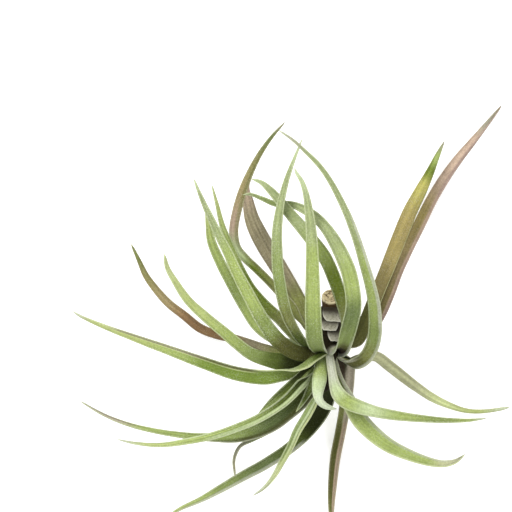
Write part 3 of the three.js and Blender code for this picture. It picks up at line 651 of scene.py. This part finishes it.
growLeaf({
    "node": "leaf_top_left", "slot": "leaf_green", "skin": scurfySkin,
    "side": -62, "face": (-0.15, -0.05, 1), "turn": (-0.2, -0.1), "rimFrom": 0.3,
    "upper": {0.2: "oliveDeep", 0.3: "glaucous", 0.45: "fresh", 0.62: "fresh", 0.78: "sage",
              0.92: "sage", 1: "bloom"},
    "lower": {0: "shade", 0.3: "glaucous", 0.7: "fresh", 1: "light"},
    "route": [
        (11.6, -15.4, 52.6, 6.2), (7.4, -16.6, 56, 7), (2.8, -16.2, 61, 7.6),
        (-2.2, -13.8, 66.6, 7.8), (-6.4, -10.4, 70.4, 7.8), (-10.8, -5.4, 73.4, 7.6),
        (-16.2, 2.8, 75.8, 7.2), (-20, 9.8, 76.6, 6.8), (-24.2, 17.6, 77, 6.3),
        (-28.2, 25.4, 76.8, 5.7), (-31.6, 33, 75.6, 5.1), (-35.4, 40.4, 73.8, 4.6),
        (-39, 47.6, 71.8, 4), (-42.4, 54.8, 69.6, 3.2), (-45.6, 62, 67.2, 2.2), (-49, 70.5, 64, 0.9)
    ],
})

growLeaf({
    "node": "leaf_top_middle", "slot": "leaf_green",
    "side": -5, "baseFold": (64, 0.22),
    "upper": {0: "shade", 0.13: "glaucous", 0.28: "glaucous", 0.43: "fresh", 0.6: "fresh",
              0.7: "sage", 0.82: "sage", 0.93: "bloom", 1: "bloomWhite"},
    "lower": {0: "shade", 0.1: "deep", 0.25: "glaucous", 0.7: "fresh", 1: "pale"},
    "strips": [(-1, "silver", 0.9, 0.72, 0.85, 0, 0.14)],
    "route": [
        (15.6, -15.4, 54.5, 6.2), (14.6, -15, 60, 7.2), (13.2, -13.4, 67.4, 8.1),
        (12.2, -11.6, 76, 8.5), (11.2, -8.2, 84, 8.6), (10.6, 0, 90, 8.4), (10.3, 9.5, 93, 7.8),
        (10, 30, 95, 6.6), (9.5, 43, 94, 5.6), (8, 56, 91, 4.2), (6.5, 64, 88.4, 3.1),
        (4.5, 69.5, 86, 2.4), (2, 73.5, 83.6, 1.6), (1, 76, 82, 0.9)
    ],
})

growLeaf({
    "node": "leaf_top_right", "slot": "leaf_green",
    "side": 42, "face": (0.15, 0, 1), "turn": (0.1, 0.3), "fold": 54, "baseFold": (124, 0.34),
    # the near-black stops at the base paint the shade in the hollow under this leaf's bend
    "upper": {0.1: "hollowShade", 0.13: "oliveDeep", 0.18: "glaucous", 0.32: "glaucousDeep",
              0.42: "fresh", 0.6: "sage", 0.78: "sage", 0.9: "glaucous", 1: "sage"},
    "lower": {0.04: "hollowShade", 0.09: "grey", 0.16: "glaucous", 0.3: "glaucous", 0.7: "fresh",
              1: "light"},
    "strips": [(1, "silver", 0.9, 0.78, 0.9, 0, 0.14), (-1, "silver", 0.9, 0.78, 0.9, 0, 0.14)],
    "route": [
        (20.4, -9, 51, 6), (21.2, -12, 54, 7), (22.4, -13.6, 59.4, 7.6), (24.2, -12.6, 68, 8.1),
        (26.6, -6.6, 77.6, 8.4), (28.8, 0, 84.8, 8.3), (30, 5.8, 88.8, 8.2), (30, 11.5, 91.2, 8),
        (28, 23, 93, 7.8), (24.8, 31.5, 92.4, 7.5), (20.4, 40, 90, 6.6), (16.4, 46, 87, 5.8),
        (11.4, 51.4, 82.6, 5.2), (5.6, 55.2, 77.4, 4.5), (-0.5, 57.6, 72.4, 3.6), (-8.5, 58, 69, 3),
        (-15, 60.6, 67.6, 2.4), (-21, 62.8, 66.8, 1.6), (-24.5, 62.5, 66.4, 0.8)
    ],
})

growLeaf({
    "node": "leaf_right_hoop", "slot": "leaf_green",
    "side": 82, "face": (0.2, 0, 1), "turn": (0.02, 0.2), "greyBase": 0.03,
    "upper": {0: "grey", 0.02: "oliveDeep", 0.09: "oliveDeep", 0.14: "olive", 0.22: "glaucous",
              0.34: "fresh", 0.45: "fresh", 0.58: "sage", 0.86: "sage", 0.95: "grey", 1: "silver"},
    "lower": {0.06: "grey", 0.12: "olive", 0.24: "olive", 0.36: "bloom", 0.6: "grey", 0.9: "bloom",
              1: "silver"},
    "strips": [(-1, "silver", 0.85, 0.45, 0.65, 0.27, 0.58),
               (-1, "silver", 0.6, 0.6, 0.8, 0.1, 0.3), (1, "grey", 0.9, 0.3, 0.6, 0, 0.05)],
    "route": [
        (22.4, -17.6, 50.6, 4.4), (26, -20.4, 52.6, 5.4), (30, -21.4, 55.2, 6.2),
        (33.8, -20.6, 58.2, 6.9), (37.4, -17.2, 62.4, 7.4), (39.8, -12, 66.6, 7.4),
        (41, -5.6, 71, 7.2), (41.1, 0.5, 74.4, 6.9), (40.6, 7.5, 77.6, 6.5), (39, 16, 80.5, 5.8),
        (35.8, 27.5, 83, 5.1), (32, 40, 84.4, 4.5), (27.3, 52.5, 84.4, 3.9), (19, 69, 82, 3),
        (13, 77.5, 79.4, 2.6), (6.5, 84, 76.6, 2.1), (0, 90, 73.6, 1.6), (-6.5, 94.5, 71, 0.9)
    ],
})

growLeaf({
    "node": "leaf_top_second", "slot": "leaf_grey_green", "skin": scurfySkin,
    "side": -38, "fold": 48,
    "upper": {0.12: "shade", 0.24: "olive", 0.4: "glaucous", 0.7: "sage", 0.84: "sage",
              0.94: "bloom", 1: "bloomWhite"},
    "lower": {0: "shade", 0.4: "glaucous", 0.8: "fresh", 1: "pale"},
    "route": [
        (12.2, -12.6, 54, 5.6), (9.6, -12.8, 59, 6.6), (6.4, -10.9, 65, 7.4), (3, -6.4, 71, 7.7),
        (-0.3, -0.6, 75.6, 7.8), (-2.9, 6.5, 79.6, 7.8), (-5, 16, 82.6, 7.6), (-6.5, 26, 84, 7.3),
        (-7, 36, 84, 6.9), (-6.9, 46, 83.2, 6.2), (-5.4, 58, 81.6, 4.9), (-3, 68.5, 79.2, 3.7),
        (-0.6, 76, 76.8, 2.8), (5, 90.5, 71.6, 0.9)
    ],
})

growLeaf({
    "node": "leaf_top_inner", "slot": "leaf_dark_green",
    "side": 60, "face": (0.3, -0.1, 1), "turn": (0.18, 0.4), "fold": 46,
    "upper": {0: "grey", 0.1: "glaucous", 0.2: "olive", 0.4: "moss", 0.55: "fresh", 0.7: "sage",
              0.9: "sage", 1: "bloom"},
    "lower": {0: "shade", 0.4: "moss", 0.8: "fresh", 1: "light"},
    "route": [
        (22.6, -14, 53, 4.6), (25, -11.4, 57, 5.8), (26.2, -6.4, 62.6, 6.4), (26, -0.4, 68, 6.8),
        (24.4, 8.6, 74.6, 7), (20.8, 20.4, 79.8, 7), (15.8, 31.6, 81.8, 7), (10, 39.4, 81.6, 6.8),
        (4.2, 46.6, 80, 6.4), (-1.2, 53, 78, 5.8), (-6, 59, 76, 5), (-11.2, 65, 74, 3.8),
        (-15.4, 68.6, 72.8, 2.4), (-20.5, 70.5, 71.8, 0.9)
    ],
})

growLeaf({
    "node": "leaf_left_inner", "slot": "leaf_dark_green",
    "side": -66, "face": (0.4, 0.45, 0.8), "turn": (-0.2, -0.1), "fold": 46,
    "upper": {0: "glaucous", 0.2: "olive", 0.35: "moss", 0.5: "moss", 0.65: "fresh", 0.9: "light",
              1: "fresh"},
    "lower": {0: "shade", 0.4: "moss", 0.8: "glaucous", 1: "fresh"},
    "route": [
        (10.6, -12.6, 54, 4.4), (6.6, -12, 54.8, 5.4), (2.4, -9.6, 55.6, 6.4), (-2, -5, 56.8, 7),
        (-6.6, 0.2, 57.8, 7.2), (-11.4, 4.4, 58.4, 7.2), (-16, 9, 58.4, 7), (-21, 15.2, 58, 6.6),
        (-26, 24.6, 57, 5.8), (-31, 36.6, 56, 4.6), (-35, 47.5, 55, 3.4), (-37.4, 57.5, 54, 2.2),
        (-40, 67.5, 53, 0.9)
    ],
})

growLeaf({
    "node": "leaf_left_far", "slot": "leaf_green",
    "side": -100, "face": (0, 0.1, 1), "fold": 46, "greyBase": 0.35,
    "upper": {0: "shade", 0.15: "glaucous", 0.35: "fresh", 0.55: "glaucous", 0.75: "fresh",
              1: "light"},
    "lower": {0: "shade", 0.4: "glaucous", 0.8: "fresh", 1: "light"},
    "route": [
        (12.4, -9.5, 48.8, 4.6), (6, -12.4, 47, 5.2), (-1, -12, 45, 5.4), (-9, -9.4, 43, 5.6),
        (-17, -3.6, 41.4, 5.6), (-23.5, 6, 40, 5.6), (-30, 17.5, 38.8, 5.5), (-36, 29, 38, 5.2),
        (-40.4, 39.5, 38.4, 4.5), (-42, 49, 39, 2.9), (-43.2, 57.5, 40, 0.9)
    ],
})

growLeaf({
    "node": "leaf_right_low", "slot": "leaf_yellow_olive", "skin": fadedSkin,
    "side": 118, "face": (0.2, 0.4, -0.9), "fold": 46,
    "upper": {0: "oliveDeep", 0.3: "grey", 0.6: "light"},
    "lower": {0.14: "olive", 0.26: "straw", 0.5: "straw", 0.66: "pale", 0.85: "light",
              1: "bloomWhite"},
    "route": [
        (22, -17, 46.4, 4), (25.6, -19.4, 41.6, 4.8), (30.4, -20.4, 36.4, 5.4),
        (36, -19.8, 31.4, 5.8), (42, -18.8, 27.2, 6.1), (49.4, -24, 22.4, 6.2), (55.8, -29, 19, 6),
        (63, -34.4, 15.8, 5.4), (71.3, -39.8, 10.6, 4.8), (82, -44.4, 5.6, 3.4),
        (89, -46.2, 2.8, 2.5), (97, -46.4, 0.9, 2.1), (106, -45.2, 0.4, 1.7), (110, -44.2, 0.6, 1.1)
    ],
})

growLeaf({
    "node": "leaf_olive_turned", "slot": "leaf_tan", "skin": fadedSkin,
    "side": -88, "face": (0.1, 0.1, 1), "fold": 44,
    "upper": {0.25: "olive", 0.36: "moss", 0.45: "bloom", 0.55: "pinkTan", 0.68: "tan",
              0.8: "oliveTan", 0.92: "glaucousDeep", 1: "greyTip"},
    "lower": {0: "oliveDeep", 0.3: "olive", 0.6: "tan", 1: "yellowOlive"},
    "strips": [(-1, "olive", 0.5, -0.1, 0.4, 0, 1)],
    "route": [
        (13.6, -2, 49, 4.4), (8.6, -3.4, 46, 5.4), (3.8, 1.6, 43.4, 5.6), (-0.8, 7.6, 42, 5),
        (-5.5, 12.8, 41, 4.2), (-11.8, 19.6, 40, 4.2), (-17.7, 25.4, 39.6, 4.2),
        (-23, 30.4, 39.6, 4.4), (-27.6, 36, 40, 4.6), (-29.2, 44, 41, 4.8), (-27.2, 56, 42.4, 4.8),
        (-23.4, 68, 44, 4.2), (-17, 81.5, 46.4, 3), (-10.6, 91, 48.4, 2), (-3.5, 99, 50, 0.9)
    ],
})

growLeaf({
    "node": "leaf_brown_left", "slot": "leaf_brown", "skin": driedSkin,
    "side": -128, "face": (-0.2, 0.1, -1), "fold": 44,
    "upper": {0.5: "brownDeep", 1: "brown"},
    "lower": {0: "oliveDeep", 0.22: "olive", 0.34: "ashDeep", 0.48: "brown", 0.64: "brown",
              0.76: "tan", 0.86: "oliveTan", 1: "glaucous"},
    "route": [
        (13.2, -5, 46.8, 4), (8.6, -10, 41.6, 4.4), (2, -14.4, 35, 4.6), (-6, -16, 28.6, 4.6),
        (-14, -14.4, 23.4, 4.6), (-22, -11.8, 18.8, 4.6), (-30, -9.4, 14.8, 4.6),
        (-38.6, -7.4, 11.4, 4.6), (-46.5, -4.2, 8, 4.6), (-54, 1.8, 5, 4.4), (-62, 8, 2.6, 4.2),
        (-68, 14.5, 1.3, 3.8), (-73.5, 22, 0.7, 3.2), (-77, 29.5, 0.5, 2.2), (-81, 38, 1.1, 0.9)
    ],
})

growLeaf({
    "node": "leaf_brown_wide", "slot": "leaf_brown", "skin": driedSkin,
    "side": 178, "face": (-0.1, 0, -1), "fold": 40,
    "upper": {0: "brownDeep", 1: "brown"},
    "lower": {0: "oliveDeep", 0.15: "olive", 0.35: "olive", 0.5: "ashDeep", 0.8: "ashDeep",
              1: "pinkTan"},
    "route": [
        (17.6, 0.6, 46, 4.6), (15.6, -4.6, 39.6, 6), (12.4, -5.2, 33, 7.4), (8.2, -0.4, 26, 8.2),
        (3, 9.6, 18.6, 8.6), (-2.6, 19.6, 12.8, 8.8), (-7.8, 28.4, 8.2, 8.8), (-12.6, 36, 4.6, 8.8),
        (-17, 44, 2.3, 8.6), (-20, 51, 1, 7.6), (-22, 60, 0.6, 5.6), (-23, 66, 0.8, 3.4),
        (-21.5, 71, 1.5, 1.1)
    ],
})

growLeaf({
    "node": "leaf_olive_right", "slot": "leaf_yellow_olive", "skin": fadedSkin,
    "side": 104, "face": (0.1, 0.1, -1), "fold": 40,
    "upper": {0: "oliveDeep", 0.5: "brown", 1: "olive"},
    # its near-black stop at the base is painted shade where it leaves the crown
    "lower": {0: "hollowShade", 0.07: "oliveDeep", 0.25: "oliveDeep", 0.36: "brownOlive",
              0.5: "yellowTan", 0.65: "yellowTan", 0.8: "yellowOlive", 0.87: "moss", 0.93: "fresh",
              1: "greyTip"},
    "strips": [(1, "light", 0.7, 0.86, 0.94, 0.3, 0.8)],
    "route": [
        (22, -11.6, 47.4, 5), (26.4, -13, 43.6, 6.6), (32, -10.4, 39.4, 7.4), (37, -1.4, 34, 7.4),
        (42.4, 12.4, 27.4, 7), (47.8, 25.4, 22.6, 7.2), (53.5, 39.7, 18.4, 7.6),
        (59.4, 54, 15, 7.4), (65.3, 65.5, 12.6, 6.2), (69.8, 74.5, 11.2, 4.4),
        (73.6, 83, 10.4, 2.7), (77, 90, 10, 0.9)
    ],
})

growLeaf({
    "node": "leaf_mauve_right", "slot": "leaf_mauve", "skin": driedSkin,
    "side": 140, "face": (0.1, 0.1, -1), "fold": 40,
    "upper": {0: "brownDeep", 0.5: "brown"},
    "lower": {0.2: "oliveDeep", 0.3: "brownOlive", 0.42: "tan", 0.58: "yellowTan", 0.72: "pinkTan",
              0.86: "pinkTan", 0.94: "greyTip", 1: "ashDeep"},
    "strips": [(1, "mauve", 0.7, 0.2, 0.6, 0, 1)],
    "route": [
        (20.6, 0.5, 46, 4.4), (25.4, -5.2, 40, 5), (31.6, -8, 34, 5.6), (38.4, -5.2, 28.4, 6),
        (43.6, 1.8, 23.8, 6.2), (48.6, 12.8, 19, 6.3), (53, 24.4, 14.8, 6.2), (58.6, 36.4, 10, 6.2),
        (64.4, 48, 6.2, 6.2), (70.4, 60, 3.4, 5.8), (77, 71, 1.7, 5.4), (84.5, 81.5, 0.8, 4.8),
        (91.5, 90, 0.4, 3.8), (100, 100.5, 0.6, 2.2), (106, 108, 1.4, 0.9)
    ],
})
print("leaves grown")


def makeScurf(look):
    material = newMaterial(look["name"])
    tree = material.node_tree
    edge = attribute(tree, "edge", "Fac")      # mm in from the rim
    # painted shade: 0 none, 1 full
    paintedShade = attribute(tree, "paintedShade", "Fac")    # 0 clean, 1 dark
    coords = addNode(tree, "ShaderNodeTexCoord")
    place = addNode(tree, "ShaderNodeVectorMath", {"operation": "SCALE", "Scale": 1 / mm},
                    {0: coords.outputs["Object"]}).outputs["Vector"]
    mottle = noiseOver(tree, place, look["mottleMm"], 4.0, 0.6)
    ground = addNode(tree, "ShaderNodeMix",
                     {"data_type": "RGBA", 6: (*litTone(look["dark"]), 1),
                      7: (*litTone(look["light"]), 1)}, {0: mottle})
    specks = remap(tree, noiseOver(tree, place, look["speckMm"], 2.0), look["speckFrom"],
                   look["speckFrom"] + look["speckEdge"], 0.0, look["speck"])
    rimShare = remap(tree, edge, 0.0, look["rimMm"], look["rim"], 0.0, "SMOOTHSTEP")
    coloured = ground.outputs[2]
    # the specks and the rim are the scurf's own colours; the last tint lays on painted shade
    for share, name in ((specks, "speckColour"), (rimShare, "rimColour"), (paintedShade, "paintedShadeColour")):
        coloured = tinted(tree, share, coloured, look[name])
    bump = addNode(tree, "ShaderNodeBump", {"Strength": 0.7, "Distance": look["reliefMm"] * mm},
                   {"Height": mottle})
    addSurface(tree, {"IOR": 1.45, "Roughness": look["roughness"], "Specular IOR Level": 0.1},
               {"Base Color": coloured, "Normal": bump.outputs["Normal"]})
    return material


# Dead leaf base: a dry scale bleached grey, with dark specks and a cream torn rim; its darkest
# colour is painted shade where it is tucked in or faces the stem.
scaleLook = {
    "name": "dead leaf base, grey scurf", "mottleMm": 1.6, "dark": "#86826c", "light": "#e6e2d0",
    "speckMm": 0.55, "speckFrom": 0.57, "speckEdge": 0.08, "speck": 0.7, "speckColour": "#5a5440",
    "rimMm": 1.0, "rim": 0.95, "rimColour": "#f2eede", "paintedShadeColour": "#2a2216",
    "reliefMm": 0.3, "roughness": 0.85,
}
scaleSkin = makeScurf(scaleLook)
# Bark of the neck: fibrous brown, darkened nearly to black as painted shade for the gaps between
# the leaf bases, so the pale scales stand out against it.
barkShadeSkin = makeScurf({
    **scaleLook, "name": "stem bark, fibrous", "mottleMm": 1.8, "dark": "#1b160c",
    "light": "#3a3322", "speckMm": 1.2, "speckFrom": 0.55, "speck": 0.5, "rim": 0.0,
    "speckColour": "#171208", "paintedShadeColour": "#171208", "reliefMm": 0.4, "roughness": 0.9,
})
# Cut stub: corky tan pith with dark specks, pitted where the roots' strands were cut through; its
# darkest colour is painted shade in the pits and down the stub's side.
pithSkin = makeScurf({
    **scaleLook, "name": "cut stub, corky pith", "mottleMm": 1.3, "dark": "#b39c6c",
    "light": "#e2d5b0", "speckMm": 1.5, "speckFrom": 0.53, "speck": 0.9, "rimMm": 0.5,
    "rim": 0.8, "speckColour": "#4c3a20", "rimColour": "#e8dcb8", "paintedShadeColour": "#3c2a15",
    "reliefMm": 0.35,
})


def meshScurf(name, rings, edges, paintedShades, material):
    return meshPiece(name, rings, {"edge": ("FLOAT", "value", edges),
                                   "paintedShade": ("FLOAT", "value", paintedShades)}, material)


def growStem():
    rings = []
    for k in range(stem["steps"] + 1):
        d = stem["from"] + (stem["to"] - stem["from"]) * k / stem["steps"]
        centre = stemStart + stemAxis * d
        ring = []
        for i in range(stem["sides"]):
            away = outward(-360 * i / stem["sides"])
            bark = noise.noise((centre + away * stem["roughReach"]) / stem["roughMm"])
            r = stemRadius(d) - stem["inset"] + stem["rough"] * bark
            ring.append(centre + away * max(r, stem["least"]))
        rings.append(ring)
    count = len(rings) * stem["sides"]
    piece = meshScurf("neck_stem", rings, [(1.0,)] * count, [(0.0,)] * count, barkShadeSkin)
    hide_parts(stem["node"])


growStem()

stub = {
    "node": "root_stub", "slot": "stub_wood", "radius": 4.7, "sides": 56,
    "faceCentre": (19.6, 12.2, 51), "facing": (0, 0.8, 0.6),
    # its side, from deep in the stem: mm narrower, mm down, mm from the rim, and painted shade for
    # the shadow between the stub and the old leaf bases
    "side": [(1.2, 9, 1.0, 1.0), (0.4, 4, 1.0, 1.0), (0, 1.2, 0.6, 0.95), (0.05, 0.4, 0.2, 0.0)],
    "rings": 12, "chamfer": 0.3, "faceDrop": 0.05, "wobble": 0.04, "wobbleWaves": 2.2,
    "pitDepth": 0.7, "pitMm": 1.1, "pitFrom": 0.05, "pitGain": 2, "pitBorder": 0.2,
    # painted shade in the pits, at their deepest
    "pitShade": 0.8,
}


def cutStub():
    facing = Vector(stub["facing"]).normalized()
    faceCentre = Vector(stub["faceCentre"])
    rings, edges, paintedShades = [], [], []

    def addRing(radius, drop, edge, paintedShade):
        ring = []
        for i in range(stub["sides"]):
            away = outward(360 * i / stub["sides"])
            wobble = 1 + stub["wobble"] * noise.noise(away * stub["wobbleWaves"])
            p = faceCentre + away * radius * wobble
            p -= stemAxis * ((p - faceCentre).dot(facing) / stemAxis.dot(facing))
            ring.append(p + stemAxis * drop)
            edges.append((edge,))
            paintedShades.append((paintedShade,))
        rings.append(ring)
        return ring

    for narrower, drop, edge, paintedShade in stub["side"]:
        addRing(stub["radius"] - narrower, drop, edge, paintedShade)
    # the cut face, pitted where the strands ran, with painted shade in the pits by their depth
    for k in range(stub["rings"]):
        share = 1 - (k + 0.5) / stub["rings"]
        ring = addRing((stub["radius"] - stub["chamfer"]) * share, stub["faceDrop"],
                       (1 - share) * stub["radius"], 0.0)
        for i, p in enumerate(ring):
            pit = max(noise.noise(p / stub["pitMm"]) - stub["pitFrom"], 0) * stub["pitGain"]
            pit = min(pit, 1) * smoothstep(1 - share, 0, stub["pitBorder"])
            ring[i] = p - facing * (stub["pitDepth"] * pit)
            # painted shade in the pit, by its depth
            paintedShades[i - stub["sides"]] = (stub["pitShade"] * pit,)
    piece = meshScurf("cut_stub", rings, edges, paintedShades, pithSkin)
    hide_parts(stub["node"])


cutStub()

# at and reach: mm from the stem's start and on along it; side and span: degrees round it
oldBases = [
    {"node": "sheath_low", "at": 0.6, "side": 24, "reach": 7, "lift": 1.2, "span": 60},
    {"node": "sheath_middle", "at": 5.6, "side": 2, "reach": 6.6, "lift": 1.7, "span": 36},
    {"node": "sheath_high", "at": 10.8, "side": 24, "reach": 6.6, "lift": 2.1, "span": 30},
    {"node": "sheath_back", "at": 1, "side": -150, "reach": 5.4, "lift": 1, "span": 44},
]
scale = {
    "thickness": 0.75, "thinning": 0.5, "seat": 0.55, "taper": 0.72, "rows": 16, "columns": 14,
    "torn": 0.35, "tornMm": 1.6, "tornWaves": 4, "arcRadius": 6.5,
    # painted shade where the scale is tucked in under the one before, and on its side against the
    # stem
    "paintedShade": 0.96, "paintedShadeFade": (0.15, 0.85), "underShade": 0.9,    # dark where it is tucked in
}


def growScale(base):
    rings, edges, paintedShades = [], [], []
    n = scale["columns"]
    for k in range(scale["rows"] + 1):
        t = k / scale["rows"]
        spread = base["span"] * math.sqrt(1 - scale["taper"] * t * t)
        seat = scale["seat"] + base["lift"] * t * t
        thin = scale["thickness"] * (1 - scale["thinning"] * t)
        row = [(1 - 2 * j / n, seat + thin) for j in range(n + 1)]
        row += [(-1 + 2 * j / n, seat) for j in range(n + 1)]
        # painted shade, fading out from the tucked-in end
        tucked = scale["paintedShade"] * (1 - smoothstep(t, *scale["paintedShadeFade"]))
        ring = []
        for s, offset in row:
            tear = Vector((s * scale["tornWaves"], base["side"], 0)) / scale["tornMm"]
            distance = base["at"] + base["reach"] * t + scale["torn"] * t * noise.noise(tear)
            away = outward(base["side"] + s * spread)
            ring.append(stemStart + stemAxis * distance + away * (stemRadius(distance) + offset))
            across = math.radians((1 - abs(s)) * spread) * scale["arcRadius"]
            edges.append((min(across, (1 - t) * base["reach"]),))
            paintedShades.append((max(0.0 if offset > seat else scale["underShade"], tucked),))
        rings.append(ring)
    piece = meshScurf("old_" + base["node"], rings, edges, paintedShades, scaleSkin)
    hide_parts(base["node"])


for base in oldBases:
    growScale(base)
print("stem, stub and old leaf bases made")

paper = {"half": 3.0, "fibreMm": 0.8, "tint": (0.93, 0.95), "glow": 0.22}


# Matt white backdrop paper that glows faintly, so the floor reads as plain and pale
def layPaper():
    material = newMaterial("white backdrop paper")
    tree = material.node_tree
    coords = addNode(tree, "ShaderNodeTexCoord")
    fibre = noiseOver(tree, coords.outputs["Object"], paper["fibreMm"] * mm, 2.0)
    tint = remap(tree, fibre, 0.3, 0.7, *paper["tint"])
    addSurface(tree, {"Roughness": 0.9, "Specular IOR Level": 0.1,
                      "Emission Strength": paper["glow"]},
               {"Base Color": tint, "Emission Color": tint})
    half = paper["half"]
    mesh = bpy.data.meshes.new("paper_floor")
    mesh.from_pydata([(-half, -half, 0), (half, -half, 0), (half, half, 0), (-half, half, 0)],
                     [], [(0, 1, 2, 3)])
    mesh.materials.append(material)
    floor = addObject("paper_floor", mesh)


layPaper()

studio = {
    "sky": (1.0, 1.0, 1.0), "skyStrength": 0.95, "aim": (0, 0, 0.04),
    "lamps": [  # name, place, size in m, watts
        ("soft key", (-0.9, 0.9, 1.7), 1.1, 40),
        ("soft fill", (1.2, -0.5, 1.5), 1.4, 12),
    ],
}


def lightStudio():
    world = bpy.data.worlds.new("white room")
    world.use_nodes = True
    background = world.node_tree.nodes["Background"]
    background.inputs["Color"].default_value = (*studio["sky"], 1)
    background.inputs["Strength"].default_value = studio["skyStrength"]
    bpy.context.scene.world = world
    for name, place, size, watts in studio["lamps"]:
        lamp = bpy.data.lights.new(name, "AREA")
        lamp.size = size
        lamp.energy = watts
        lampObject = addObject(name, lamp)
        lampObject.location = place
        aim = Vector(studio["aim"]) - Vector(place)
        lampObject.rotation_euler = aim.to_track_quat("-Z", "Y").to_euler()


lightStudio()

# straight down on the plant from far off, so that 256 mm fill the view at its middle height
view = {"centre": (-18, 32, 50), "away": 5000, "wide": 256, "sensor": 36, "clip": (0.1, 20)}


def aimCamera():
    camera = bpy.data.cameras.new("camera")
    camera.sensor_width = view["sensor"]
    camera.lens = view["sensor"] * view["away"] / view["wide"]
    camera.clip_start, camera.clip_end = view["clip"]
    cameraObject = addObject("camera", camera)
    cameraObject.location = (Vector(view["centre"]) + Vector((0, 0, view["away"]))) * mm
    bpy.context.scene.camera = cameraObject


aimCamera()
bpy.context.scene.view_settings.view_transform = "Standard"
print("studio ready")
